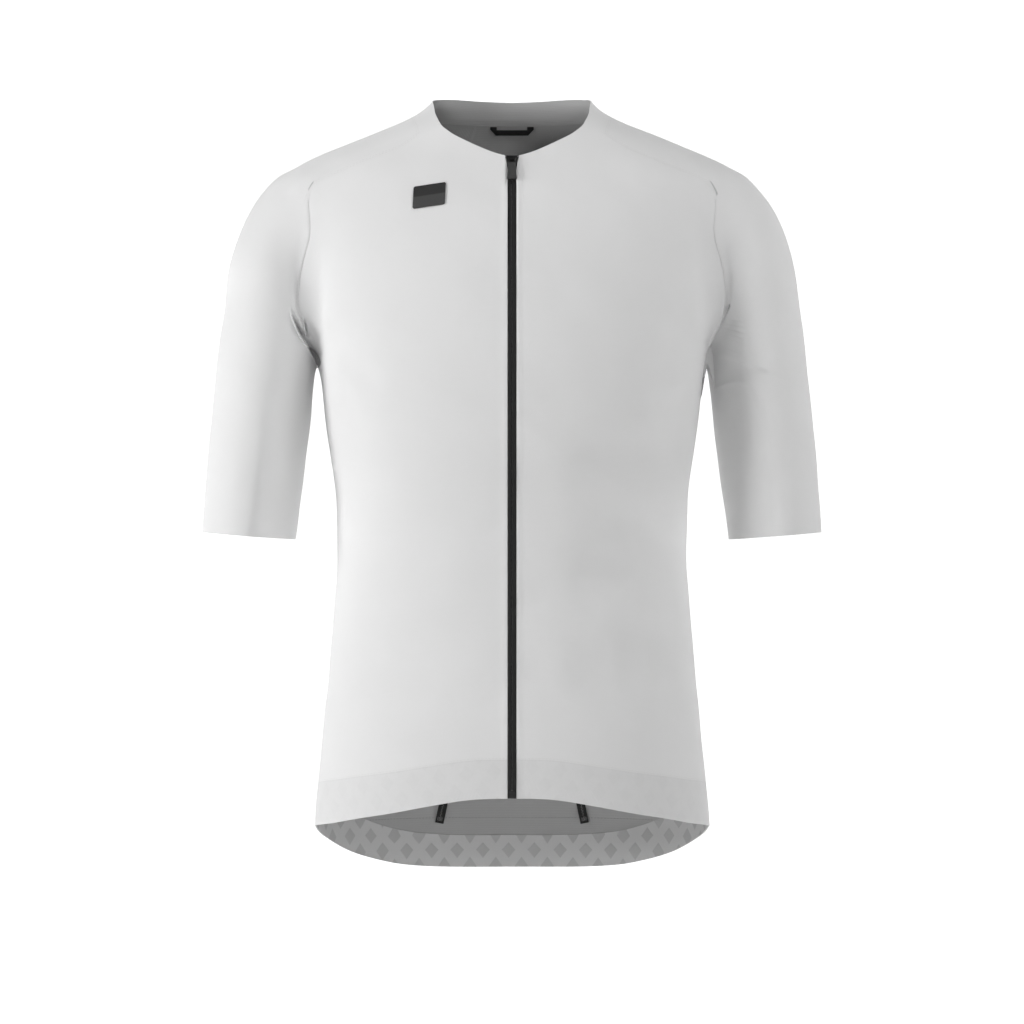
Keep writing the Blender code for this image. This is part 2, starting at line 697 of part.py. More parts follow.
def front_grids(seams):
    """The front panel: its main block, then the tongue beside the neck."""
    outer = joined(seams["side"], seams["armhole"])
    centre = centre_front(seams["band_front"][0], seams["neck_front"][0], outer)
    bridge = onto_form(np.linspace(seams["neck_front"][-1], seams["armhole"][-1], TONGUE_COLUMNS + 1))
    top = joined(seams["neck_front"], bridge)
    main = patch(seams["band_front"], top, centre, outer)
    end = onto_form(np.linspace(seams["neck_tongue"][-1], seams["collar_front"][-1], TONGUE_COLUMNS + 1))
    tongue = patch(bridge, end, seams["neck_tongue"], seams["collar_front"], TONGUE_ROUNDS)
    corner = main[-1, -1].copy()
    main[:, -1] = drawn_in(main[:, -1], main[:, -2])
    main[0] = drawn_in(main[0], main[1])
    side = drawn_in(tongue[:, -1], tongue[:, -2])
    main[-1, -1] += side[0] - corner
    tongue[:, -1] = side
    tongue[-1] = drawn_in(tongue[-1], tongue[-2])
    tongue[0] = main[-1, NECK_COLUMNS:]
    return main, tongue


def centre_front(foot, top, outer):
    """The front edge beside the zip, with rows level with those of the side as far as they can be."""
    share, armpit_z = FRONT_ROW_AT_ARMPIT
    even = np.linspace(foot[2], top[2], len(outer))
    level = np.interp(np.arange(len(outer)), [0, SIDE_ROWS, len(outer) - 1], [foot[2], armpit_z, top[2]])
    z = (1 - share) * even + share * level
    edge = np.array([from_side(ZIP_EDGE, height, -1) for height in z])
    edge[0], edge[-1] = foot, top
    return edge


def back_grid(seams):
    """The whole back panel, from the +X side seam to the other."""
    side = joined(seams["side"], seams["raglan"])
    bottom = whole(seams["band_back"])
    top = whole(seams["collar_middle"])
    grid = patch(bottom, top, side, mirror(side))
    grid[:, 0] = drawn_in(grid[:, 0], grid[:, 1])
    grid[:, -1] = drawn_in(grid[:, -1], grid[:, -2])
    grid[0] = drawn_in(grid[0], grid[1])
    grid[-1] = drawn_in(grid[-1], grid[-2])
    return grid


def whole(curve):
    """A curve that ends on the middle plane, carried on to the other side."""
    return joined(curve, mirror(curve[::-1]))


def sleeve_grid(seams):
    """The sleeve: closed rings from the cuff to the armpit, then open rows up to the collar."""
    pit = seams["side"][-1]
    ridge = seams["shoulder"]
    split = int(np.argmax(ridge[:, 2] > ARMPIT_OUTER_Z))
    low = spaced(ridge[: split + 1], CUFF_ROWS)
    high = spaced(ridge[split:], ARMHOLE_ROWS)
    inner = np.linspace((CUFF_IN[0], 0.0, CUFF_IN[1]), pit, CUFF_ROWS + 1)
    rows = [ring_row((o + i) / 2, o) for o, i in zip(low, inner)]
    rows[-1][0] = rows[-1][-1] = pit
    for k in range(1, ARMHOLE_ROWS):
        front, back = seams["armhole"][k], seams["raglan"][k]
        middle = (front + back) / 2
        rows.append(open_row((high[k] + middle) / 2, front, high[k], back))
    rows.append(joined(seams["collar_front"], seams["collar_side"]))
    grid = relax(np.array(rows), SLEEVE_ROUNDS)
    grid[CUFF_ROWS:, 0] = drawn_in(grid[CUFF_ROWS:, 0], grid[CUFF_ROWS:, 1])
    grid[CUFF_ROWS:, -1] = drawn_in(grid[CUFF_ROWS:, -1], grid[CUFF_ROWS:, -2])
    grid[CUFF_ROWS, 0] = grid[CUFF_ROWS, -1] = (grid[CUFF_ROWS, 0] + grid[CUFF_ROWS, -1]) / 2
    grid[-1] = drawn_in(grid[-1], grid[-2])
    return grid


def ring_row(centre, outer):
    """A closed ring of the sleeve that starts and ends under the arm."""
    first = unit(outer - centre)
    return ray_row(centre, first, np.array([0.0, 1.0, 0.0]), -math.pi, math.pi)


def open_row(centre, front, outer, back):
    """A row of the sleeve from its front seam round the outside to its back seam."""
    first = unit(outer - centre)
    across = (back - front) + np.array([0.0, FACING_SIDE, 0.0])
    second = unit(across - (across @ first) * first)
    to_front = math.atan2((front - centre) @ second, (front - centre) @ first)
    to_back = math.atan2((back - centre) @ second, (back - centre) @ first)
    start = to_front - 2 * math.pi if to_front > 0 else to_front
    stop = to_back + 2 * math.pi if to_back < 0 else to_back
    row = ray_row(centre, first, second, start, stop)
    row[0], row[-1] = front, back
    return row


def collar_grid(seams):
    """The stand collar round the back, from the end of one tongue to the other."""
    base = whole(joined(seams["collar_side"], seams["collar_middle"]))
    top = whole(seams["neck_back"])
    start = onto_form(np.linspace(base[0], top[0], COLLAR_ROWS + 1))
    grid = patch(base, top, start, mirror(start), COLLAR_ROUNDS)
    grid[:, 0] = drawn_in(grid[:, 0], grid[:, 1])
    grid[:, -1] = drawn_in(grid[:, -1], grid[:, -2])
    grid[0] = drawn_in(grid[0], grid[1])
    return grid


def band_grid(seam, hem, both_sides):
    """A hem band, from its edge up to its seam."""
    left = onto_form(np.linspace(hem[0], seam[0], BAND_ROWS + 1))
    right = onto_form(np.linspace(hem[-1], seam[-1], BAND_ROWS + 1))
    grid = patch(hem, seam, left, right, BAND_ROUNDS)
    grid[:, -1] = drawn_in(grid[:, -1], grid[:, -2])
    if both_sides:
        grid[:, 0] = drawn_in(grid[:, 0], grid[:, 1])
    grid[-1] = drawn_in(grid[-1], grid[-2])
    return grid


# ==== Pieces laid on a panel ====


def folded(grid):
    """A grid's points on the folded cloth, and the way out at each."""
    out = form(grid)[1]
    return grid - folds(grid, out)[..., None] * out, out


def plain_quads(rows, columns, left_out=()):
    """The quads of a plain grid, without the cells named by row and column."""
    cells = [(i, j) for i in range(rows - 1) for j in range(columns - 1) if (i, j) not in left_out]
    corner = [(i * columns + j) for i, j in cells]
    return [(a, a + 1, a + 1 + columns, a + columns) for a in corner]


def add_laid(name, grid, out, low, high, finish, left_out=()):
    """A thin piece between two distances from a panel's own points, along the way out."""
    quads = plain_quads(*grid.shape[:2], left_out)
    used = sorted({corner for quad in quads for corner in quad})
    place = {corner: k for k, corner in enumerate(used)}
    quads = [tuple(place[corner] for corner in quad) for quad in quads]
    points, ways = grid.reshape(-1, 3)[used], out.reshape(-1, 3)[used]
    return add_sheet(name, points + high * ways, points + low * ways, quads, ways, finish)


def tree_of(obj):
    mesh = obj.data
    corners = [v.co.copy() for v in mesh.vertices]
    return BVHTree.FromPolygons(corners, [tuple(p.vertices) for p in mesh.polygons])


def cast(tree, x, z, start, way):
    """The first point of a panel that is met along Y, as an array."""
    hit = tree.ray_cast(Vector((x, start, z)), Vector((0.0, way, 0.0)))[0]
    return np.array(hit)


def laid_grid(tree, xz, start, way):
    """Points of a panel met along Y, and the way out of the form at each."""
    rows = [[cast(tree, x, z, start, way) for x, z in row] for row in xz]
    points = np.array(rows)
    return points, form(points)[1]


def add_pocket_panel(back):
    """The panel over the lower back: the back's own points, lifted, and a little open at the top."""
    grid, out = folded(back)
    middle = BACK_COLUMNS // 2
    heights = grid[:, middle, 2]
    foot = np.interp(grid[0, middle, 2] + POCKET_FOOT_ABOVE_BAND, heights, np.arange(len(heights)))
    top = np.interp(POCKET_TOP_Z, heights, np.arange(len(heights)))
    at = [foot] + list(range(int(foot) + 1, int(top) + 1)) + [top]
    keep = slice(POCKET_FIRST_COLUMN, BACK_COLUMNS + 1 - POCKET_FIRST_COLUMN)
    points = np.array([between_rows(grid, row)[keep] for row in at])
    ways = unit(np.array([between_rows(out, row)[keep] for row in at]))
    edge = abs(points[-1, 0, 0])
    divider = POCKET_TAPE[-1].x
    x = points[-1, :, 0]
    side = np.sin(np.pi * np.clip((np.abs(x) - divider) / (edge - divider), 0, 1))
    centre = np.cos(np.pi * np.clip(np.abs(x) / divider, 0, 1) / 2)
    gape = POCKET_GAPE * np.maximum(side, np.where(np.abs(x) < divider, centre, 0))
    points[-1] += gape[:, None] * ways[-1]
    points[-2] += POCKET_GAPE_BELOW * gape[:, None] * ways[-2]
    add_laid("pocket_panel", points, ways, LAY_GAP, LAY_GAP + WALL, "knit")


def between_rows(grid, row):
    low = min(int(row), len(grid) - 2)
    return grid[low] * (1 - (row - low)) + grid[low + 1] * (row - low)


def add_pocket_tapes(back_tree):
    """Tapes inside the back, behind the two pocket dividers."""
    route = spline([(p.x, 0.0, p.z) for p in POCKET_TAPE])
    route = spaced(route, TAPE_STEPS)[:, [0, 2]]
    run = unit(np.gradient(route, axis=0))
    across = np.stack([-run[:, 1], run[:, 0]], axis=1) * TAPE_WIDTH / 2
    for name, hand in (("pocket_tape_left", 1.0), ("pocket_tape_right", -1.0)):
        flip = np.array([hand, 1.0])
        xz = [[(p - a) * flip, p * flip, (p + a) * flip] for p, a in zip(route, across)]
        grid, out = laid_grid(back_tree, xz, INSIDE_Y, 1.0)
        add_laid(name, grid, out, -LAY_GAP - TRIM_WALL, -LAY_GAP, "black_tape")


def add_hanger_loop(back_tree):
    """A flat tape loop that hangs from the collar seam inside the back."""
    inner = LOOP_HALF_WIDTH - LOOP_TAPE
    x = [-LOOP_HALF_WIDTH, -inner, -LOOP_MIDDLE, LOOP_MIDDLE, inner, LOOP_HALF_WIDTH]
    z = [LOOP_TOP_Z, LOOP_TOP_Z - LOOP_DROP + LOOP_BAR, LOOP_TOP_Z - LOOP_DROP]
    xz = [[(a, b) for a in x] for b in z]
    xz[-1][0] = (x[0] + LOOP_CHAMFER, z[-1])
    xz[-1][-1] = (x[-1] - LOOP_CHAMFER, z[-1])
    grid, out = laid_grid(back_tree, xz, INSIDE_Y, 1.0)
    window = [(0, 1), (0, 2), (0, 3)]
    add_laid("hanger_loop", grid, out, -LAY_GAP - TRIM_WALL, -LAY_GAP, "black_tape", window)


def add_chest_label(front_tree):
    rows, columns = LABEL_STEPS[1] + 1, LABEL_STEPS[0] + 1
    corner = np.array(LABEL_CENTRE) - 0.5 * (np.array(LABEL_ACROSS) + np.array(LABEL_DOWN))
    xz = [
        [corner + np.array(LABEL_ACROSS) * j / (columns - 1) + np.array(LABEL_DOWN) * i / (rows - 1)
         for j in range(columns)]
        for i in range(rows)
    ]
    grid, out = laid_grid(front_tree, xz, BEFORE_FRONT, 1.0)
    add_laid("chest_label", grid, out, LAY_GAP, LAY_GAP + TRIM_WALL, "label")


# ==== Zip ====


def front_line(main, band):
    """The front edge from the hem to the neck, on the middle plane: y and the way out, by height."""
    grid = np.vstack([band, main[1:]])
    points, out = folded(grid)
    line = points[:, 0] * np.array([0.0, 1.0, 1.0])
    ways = unit(out[:, 0] * np.array([0.0, 1.0, 1.0]))
    return points, out, line, ways


def at_height(z, line, ways):
    """The point and the way out of the front line at a height."""
    point = np.array([0.0, np.interp(z, line[:, 2], line[:, 1]), z])
    way = unit(np.array([0.0, np.interp(z, line[:, 2], ways[:, 1]), np.interp(z, line[:, 2], ways[:, 2])]))
    return point, way


def add_zip_tapes(points, out):
    """Tapes behind the two front edges, on the line of each row's first two points."""
    depth = BAND_WALL + LAY_GAP
    first, second = points[:, 0], points[:, 1]
    rows = []
    for a, b in zip(first, second):
        rows.append([a + (b - a) * (x - a[0]) / (b[0] - a[0]) for x in (ZIP_TAPE_INNER, ZIP_TAPE_OUTER)])
    grid = np.array(rows)
    ways = np.repeat(out[:, :1], 2, axis=1)
    for name, hand in (("zip_tape_left", 1.0), ("zip_tape_right", -1.0)):
        flip = np.array([hand, 1.0, 1.0])
        add_laid(name, grid * flip, ways * flip, -depth - TRIM_WALL, -depth, "black_tape")


def add_zip_chain(line, ways):
    """The closed row of elements, from the box at the hem to the slider's foot."""
    bottom = line[0, 2] + BOX_LENGTH + SEAM_GAP
    top = SLIDER_TOP_Z - SLIDER_LENGTH
    rows = [z for z in line[:, 2] if bottom + CHAIN_SHORTEST_ROW < z < top - CHAIN_SHORTEST_ROW]
    heights = [bottom] + rows + [top]
    grid, out = [], []
    for z in heights:
        point, way = at_height(z, line, ways)
        grid.append([point + np.array([x, 0, 0]) for x in (-CHAIN_HALF_WIDTH, CHAIN_HALF_WIDTH)])
        out.append([way, way])
    add_laid("zip_chain", np.array(grid), np.array(out), -BAND_WALL, CHAIN_PROUD, "zip_elements")


def add_zip_box(line, ways):
    grid, out = [], []
    for z in (line[0, 2] + BOX_RISE, line[0, 2] + BOX_LENGTH):
        point, way = at_height(z, line, ways)
        grid.append([point + np.array([x, 0, 0]) for x in (-BOX_HALF, 0.0, BOX_HALF)])
        out.append([way, way, way])
    add_laid("zip_box", np.array(grid), np.array(out), -BAND_WALL, BOX_PROUD, "zip_elements")


def zip_frame(line, ways):
    """An empty at the slider's top: its -Y points out of the cloth and its Z up along the zip."""
    point, way = at_height(SLIDER_TOP_Z - SLIDER_LENGTH / 2, line, ways)
    lean = math.atan2(way[2], -way[1])
    up = np.array([0.0, math.sin(lean), math.cos(lean)])
    empty = bpy.data.objects.new("zip_frame", None)
    bpy.context.collection.objects.link(empty)
    empty.location = point + up * SLIDER_LENGTH / 2
    empty.rotation_euler = (-lean, 0.0, 0.0)
    return empty


def add_zip_slider(empty):
    """A wedge body with a bridge that the pull hangs from."""
    outline = (
        (0.0, SLIDER_TOP_HALF),
        (-SLIDER_SHOULDER[0] * SLIDER_LENGTH, SLIDER_SHOULDER[1]),
        (-SLIDER_WAIST[0] * SLIDER_LENGTH, SLIDER_WAIST[1]),
        (-SLIDER_LENGTH, SLIDER_FOOT_HALF),
    )
    grid = np.array([[(-half, 0.0, z), (0.0, 0.0, z), (half, 0.0, z)] for z, half in outline])
    out = np.zeros_like(grid) + np.array([0.0, -1.0, 0.0])
    body = add_laid("zip_slider", grid, out, -SLIDER_SUNK, SLIDER_PROUD, "slider_metal")
    foot = SLIDER_PROUD - BRIDGE_ROOT
    under = BRIDGE_PROUD - BRIDGE_THICK
    arch = (
        (BRIDGE_START, foot), (BRIDGE_START, under), (BRIDGE_START + BRIDGE_THICK, BRIDGE_PROUD),
        (BRIDGE_END - BRIDGE_THICK, BRIDGE_PROUD), (BRIDGE_END, under), (BRIDGE_END, foot),
        (BRIDGE_END - BRIDGE_THICK, foot), (BRIDGE_END - BRIDGE_THICK, under),
        (BRIDGE_START + BRIDGE_THICK, under), (BRIDGE_START + BRIDGE_THICK, foot),
    )
    points = [(x, -h, -s) for x in (-BRIDGE_HALF, BRIDGE_HALF) for s, h in arch]
    count = len(arch)
    sides = [(k, (k + 1) % count, (k + 1) % count + count, k + count) for k in range(count)]
    caps = [tuple(range(count))[::-1], tuple(range(count, 2 * count))]
    bridge = add_object("zip_bridge_guide", points, sides + caps, "slider_metal")
    bridge.hide_render = True
    bridge.display_type = "WIRE"
    join = body.modifiers.new("bridge", "BOOLEAN")
    join.operation = "UNION"
    join.object = bridge
    for obj in (body, bridge):
        obj.parent = empty
    return body


def add_zip_pull(empty):
    """The pull tab: a bar through the bridge, an eye, a plate and a lip. Its origin is on its axis."""
    half = PULL_BAR_HALF
    rows = (
        (half, half), (-half, half), (-PULL_SHOULDER, half), (-PULL_LENGTH + 2 * PULL_LIP, PULL_THICK / 2),
        (-PULL_LENGTH + PULL_LIP, PULL_LIP_THICK / 2), (-PULL_LENGTH, PULL_LIP_THICK / 2),
    )
    x = (-PULL_HALF_WIDTH, -PULL_ARM_OUTER, -PULL_ARM_INNER, PULL_ARM_INNER, PULL_ARM_OUTER, PULL_HALF_WIDTH)
    middle = np.array([[(a, 0.0, z) for a in x] for z, _ in rows])
    thick = np.array([[[0.0, t, 0.0] for _ in x] for _, t in rows])
    quads = plain_quads(len(rows), len(x), left_out=[(0, 0), (0, 4), (1, 0), (1, 2), (1, 4)])
    used = sorted({corner for quad in quads for corner in quad})
    place = {corner: k for k, corner in enumerate(used)}
    quads = [tuple(place[c] for c in quad) for quad in quads]
    points = middle.reshape(-1, 3)[used]
    offset = thick.reshape(-1, 3)[used]
    ways = np.zeros_like(points) + np.array([0.0, -1.0, 0.0])
    pull = add_sheet("zip_pull", points - offset, points + offset, quads, ways, "pull_rubber")
    pull.parent = empty
    pull.location = (0.0, -PULL_AXIS_PROUD, -PULL_AXIS_DOWN)
    pull.rotation_euler = (PULL_LEAN, 0.0, 0.0)
    return pull


# ==== The jersey ====


def build():
    for obj in list(bpy.data.objects):
        bpy.data.objects.remove(obj, do_unlink=True)
    seams = cut_seams()
    main, tongue = front_grids(seams)
    sleeve = sleeve_grid(seams)
    back = back_grid(seams)
    front_band = band_grid(seams["band_front"], seams["hem_front"], both_sides=False)
    back_band = band_grid(whole(seams["band_back"]), whole(seams["hem_back"]), both_sides=True)

    add_panel("front_left", [main, tongue], WALL, "knit")
    front_right = add_panel("front_right", [mirror(main), mirror(tongue)], WALL, "knit")
    add_panel("sleeve_left", [sleeve], WALL, "knit")
    add_panel("sleeve_right", [mirror(sleeve)], WALL, "knit")
    back_panel = add_panel("back", [back], WALL, "knit")
    add_panel("collar_back", [collar_grid(seams)], WALL, "knit")
    add_panel("hem_front_left", [front_band], BAND_WALL, "band")
    add_panel("hem_front_right", [mirror(front_band)], BAND_WALL, "band")
    add_panel("hem_back", [back_band], BAND_WALL, "band")

    add_pocket_panel(back)
    back_tree = tree_of(back_panel)
    add_pocket_tapes(back_tree)
    add_hanger_loop(back_tree)
    add_chest_label(tree_of(front_right))

    points, out, line, ways = front_line(main, front_band)
    add_zip_tapes(points, out)
    add_zip_chain(line, ways)
    add_zip_box(line, ways)
    empty = zip_frame(line, ways)
    add_zip_slider(empty)
    add_zip_pull(empty)
    bpy.context.view_layer.update()


build()
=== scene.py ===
"""Short-sleeved cycling jersey with a full zip, dressed over its frame.

The cloth is sewn from the outer skins of the frame's panels into one smooth surface, creased, cut
apart again at its seams and given its thickness. The zip, label, loop, tapes and stitches are modelled on it.
Metres, +Z up; the front faces -Y and the wearer's left is at +X.
"""

import json
import math
from collections import namedtuple
from contextlib import contextmanager

import bmesh
import bpy
import numpy as np
from bpy.props import FloatProperty, FloatVectorProperty, IntProperty, PointerProperty
from mathutils import Matrix, Vector
from mathutils.bvhtree import BVHTree

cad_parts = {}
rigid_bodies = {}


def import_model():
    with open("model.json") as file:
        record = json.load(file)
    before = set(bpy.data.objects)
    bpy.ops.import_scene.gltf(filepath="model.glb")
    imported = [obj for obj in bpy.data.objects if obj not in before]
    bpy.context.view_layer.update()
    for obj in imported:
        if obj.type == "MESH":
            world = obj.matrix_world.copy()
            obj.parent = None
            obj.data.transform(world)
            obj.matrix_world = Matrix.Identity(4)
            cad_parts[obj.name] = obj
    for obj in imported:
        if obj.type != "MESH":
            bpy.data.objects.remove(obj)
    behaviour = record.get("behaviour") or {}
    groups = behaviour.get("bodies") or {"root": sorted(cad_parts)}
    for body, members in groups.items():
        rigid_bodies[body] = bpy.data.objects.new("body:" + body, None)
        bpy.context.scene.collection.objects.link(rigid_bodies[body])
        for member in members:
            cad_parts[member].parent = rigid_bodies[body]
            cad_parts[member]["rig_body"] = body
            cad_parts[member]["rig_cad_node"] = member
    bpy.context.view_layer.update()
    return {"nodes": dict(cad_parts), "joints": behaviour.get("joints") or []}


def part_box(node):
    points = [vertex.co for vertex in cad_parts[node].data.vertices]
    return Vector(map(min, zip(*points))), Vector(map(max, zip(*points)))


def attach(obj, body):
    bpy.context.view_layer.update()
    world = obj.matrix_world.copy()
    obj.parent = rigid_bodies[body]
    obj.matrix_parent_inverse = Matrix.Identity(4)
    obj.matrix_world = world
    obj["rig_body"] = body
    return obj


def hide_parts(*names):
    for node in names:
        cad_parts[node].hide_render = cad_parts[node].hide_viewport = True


bl_info = {
    "name": "Cycling jersey",
    "version": (1, 0, 0),
    "blender": (4, 5, 0),
    "location": "3D View > Sidebar > Jersey",
    "description": "Dresses the frame of a cycling jersey in knit, bands, zip and trim",
    "category": "Object",
}

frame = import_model()
JERSEY = "jersey"
PULL_TAB = "pull_tab"
PIVOT = Vector(frame["joints"][0]["pos_m"])

# ==== The panels and their cut ====

# node: the frame's panel; way: where its outer side looks; width, length, area: its flat cut
Panel = namedtuple("Panel", "node way slot width length area")
FRONT_WAY, BACK_WAY = (0.0, -1.0, 0.0), (0.0, 1.0, 0.0)
PANELS = (
    Panel("front_left", FRONT_WAY, "knit", width=0.230, length=0.650, area=0.1160),
    Panel("front_right", FRONT_WAY, "knit", width=0.230, length=0.650, area=0.1160),
    Panel("back", BACK_WAY, "knit", width=0.460, length=0.670, area=0.2310),
    Panel("sleeve_left", (1.0, 0.0, 0.0), "knit", width=0.305, length=0.470, area=0.1100),
    Panel("sleeve_right", (-1.0, 0.0, 0.0), "knit", width=0.305, length=0.470, area=0.1100),
    Panel("collar_back", BACK_WAY, "knit", width=0.215, length=0.030, area=0.0042),
    Panel("hem_front_left", FRONT_WAY, "band", width=0.225, length=0.067, area=0.0083),
    Panel("hem_front_right", FRONT_WAY, "band", width=0.225, length=0.067, area=0.0083),
    Panel("hem_back", BACK_WAY, "band", width=0.465, length=0.087, area=0.0158),
)
POCKET_CUT = Panel("pocket_panel", BACK_WAY, "knit", width=0.370, length=0.205, area=0.0685)

# How a panel's outer skin is found, sewn to the next and smoothed
WALL_SKIP, WALL_REACH, WALL_FACING = 0.0001, 0.0026, -0.97
SEED_FACING = 0.9
NODE_MERGE, SEAM_MERGE = 0.00002, 0.0007
QUAD_TOPOLOGY, UNWRAP_MARGIN = 1.3, 0.002
SMOOTH_LEVELS, POCKET_LEVELS, THROUGH_ROUNDS = 3, 2, 5
SHADE_ANGLE = math.radians(42)

# The line under a sleeve, where its flat cloth is cut open, and the finer cut part in front of the armpit
UNDERARM_LOW_X, UNDERARM_HIGH_X = 0.170, 0.200
UNDERARM_HALF_Y, UNDERARM_TOP_Z, UNDERARM_STEP_Z = 0.004, -0.210, 0.005
FOLDED_LOW, FOLDED_HIGH = (0.158, -0.085, -0.238), (0.206, 0.004, -0.146)
FOLDED_CUTS, FOLDED_EASE, FOLDED_ROUNDS = 2, 0.5, 2

# ==== Creases: soft troughs through marks in x and z. A negative depth is a swell ====

Crease = namedtuple("Crease", "marks width depth side")
FRONT, BACK = -1, 1
CREASES = (
    # round the armpits, soft
    Crease([(0.1960, -0.1680), (0.1909, -0.1903), (0.1810, -0.2110)], 0.0040, 0.00070, FRONT),
    Crease([(0.1700, -0.1930), (0.1742, -0.2037), (0.1765, -0.2150)], 0.0050, 0.00080, FRONT),
    Crease([(0.1560, -0.2120), (0.1391, -0.2322), (0.1180, -0.2480)], 0.0090, 0.00060, FRONT),
    Crease([(-0.1580, -0.2160), (-0.1349, -0.2264), (-0.1150, -0.2420)], 0.0085, 0.00050, FRONT),
    # across the chest and waist, wearer's left
    Crease([(0.0560, -0.2900), (0.0700, -0.3120), (0.1000, -0.3300)], 0.0110, 0.00120, FRONT),
    Crease([(0.0700, -0.3440), (0.1000, -0.3560), (0.1300, -0.3540)], 0.0120, -0.00110, FRONT),
    Crease([(0.0500, -0.3900), (0.0720, -0.4080), (0.1120, -0.4130)], 0.0130, 0.00170, FRONT),
    Crease([(0.0620, -0.4420), (0.0950, -0.4500), (0.1300, -0.4400)], 0.0130, -0.00130, FRONT),
    Crease([(0.0480, -0.4760), (0.0560, -0.4900), (0.0700, -0.5000)], 0.0100, 0.00060, FRONT),
    Crease([(0.0950, -0.5060), (0.1080, -0.4920), (0.1300, -0.4820)], 0.0120, 0.00150, FRONT),
    Crease([(0.0900, -0.5420), (0.1150, -0.5320), (0.1380, -0.5200)], 0.0110, -0.00080, FRONT),
    Crease([(0.0980, -0.2560), (0.1080, -0.2700), (0.1300, -0.2780)], 0.0110, 0.00100, FRONT),
    Crease([(0.1480, -0.2250), (0.1350, -0.2480), (0.1280, -0.2800)], 0.0080, 0.00110, FRONT),
    # wearer's right, calmer
    Crease([(-0.0650, -0.3320), (-0.1077, -0.3269), (-0.1480, -0.3120)], 0.0160, 0.00050, FRONT),
    Crease([(-0.0550, -0.4250), (-0.1003, -0.4172), (-0.1420, -0.3980)], 0.0150, 0.00055, FRONT),
    Crease([(-0.0600, -0.5150), (-0.0989, -0.5088), (-0.1350, -0.4930)], 0.0150, 0.00050, FRONT),
    # beside the zip
    Crease([(0.0060, -0.2600), (0.0184, -0.2651), (0.0300, -0.2720)], 0.0070, 0.00035, FRONT),
    Crease([(0.0060, -0.4300), (0.0192, -0.4241), (0.0330, -0.4200)], 0.0080, 0.00035, FRONT),
    Crease([(-0.0060, -0.3550), (-0.0186, -0.3609), (-0.0320, -0.3650)], 0.0080, 0.00035, FRONT),
    Crease([(-0.0060, -0.5150), (-0.0183, -0.5125), (-0.0300, -0.5080)], 0.0070, 0.00030, FRONT),
    # sleeves, front
    Crease([(0.2050, -0.2150), (0.2236, -0.2038), (0.2450, -0.2000)], 0.0080, 0.00060, FRONT),
    Crease([(0.2000, -0.2650), (0.2237, -0.2537), (0.2500, -0.2520)], 0.0090, 0.00050, FRONT),
    Crease([(0.2100, -0.3250), (0.2368, -0.3161), (0.2650, -0.3150)], 0.0090, 0.00040, FRONT),
    Crease([(-0.2050, -0.2200), (-0.2278, -0.2163), (-0.2480, -0.2050)], 0.0080, 0.00050, FRONT),
    Crease([(-0.2020, -0.2780), (-0.2292, -0.2789), (-0.2550, -0.2700)], 0.0090, 0.00045, FRONT),
    Crease([(-0.2120, -0.3350), (-0.2389, -0.3345), (-0.2650, -0.3280)], 0.0090, 0.00035, FRONT),
    # back: pulls from the armpits, folds at the waist above the pockets
    Crease([(0.1720, -0.1950), (0.1502, -0.2243), (0.1200, -0.2450)], 0.0080, 0.00110, BACK),
    Crease([(0.1650, -0.2250), (0.1419, -0.2591), (0.1100, -0.2850)], 0.0100, 0.00080, BACK),
    Crease([(-0.1720, -0.1980), (-0.1399, -0.2142), (-0.1150, -0.2400)], 0.0080, 0.00100, BACK),
    Crease([(-0.1640, -0.2300), (-0.1370, -0.2580), (-0.1180, -0.2920)], 0.0100, 0.00075, BACK),
    Crease([(-0.1150, -0.3500), (-0.0353, -0.3380), (0.0450, -0.3440)], 0.0110, 0.00100, BACK),
    Crease([(-0.0300, -0.3840), (0.0469, -0.3700), (0.1250, -0.3720)], 0.0100, 0.00090, BACK),
    Crease([(-0.1250, -0.4050), (-0.0693, -0.4055), (-0.0150, -0.4180)], 0.0100, 0.00085, BACK),
    Crease([(0.0250, -0.4220), (0.0768, -0.4100), (0.1300, -0.4080)], 0.0090, 0.00070, BACK),
    Crease([(0.2000, -0.2250), (0.2228, -0.2137), (0.2480, -0.2100)], 0.0080, 0.00070, BACK),
    Crease([(0.2050, -0.2850), (0.2312, -0.2727), (0.2600, -0.2700)], 0.0090, 0.00055, BACK),
    Crease([(-0.2000, -0.2300), (-0.2261, -0.2263), (-0.2500, -0.2150)], 0.0080, 0.00065, BACK),
    Crease([(-0.2080, -0.2950), (-0.2361, -0.2939), (-0.2620, -0.2830)], 0.0090, 0.00050, BACK),
)
# A crease swells a little beside its trough, and fades at its ends and where the cloth turns away
LIP_AT, LIP_WIDTH, LIP_SHARE = 1.9, 0.9, 0.35
END_FADE, FACING_GAIN = 0.30, 2.5
CREASE_REACH, CREASE_STEPS = 4.0, 5

# ==== Folds at the armpits: set back along Y on the +X side of their line, and running out over a width ====

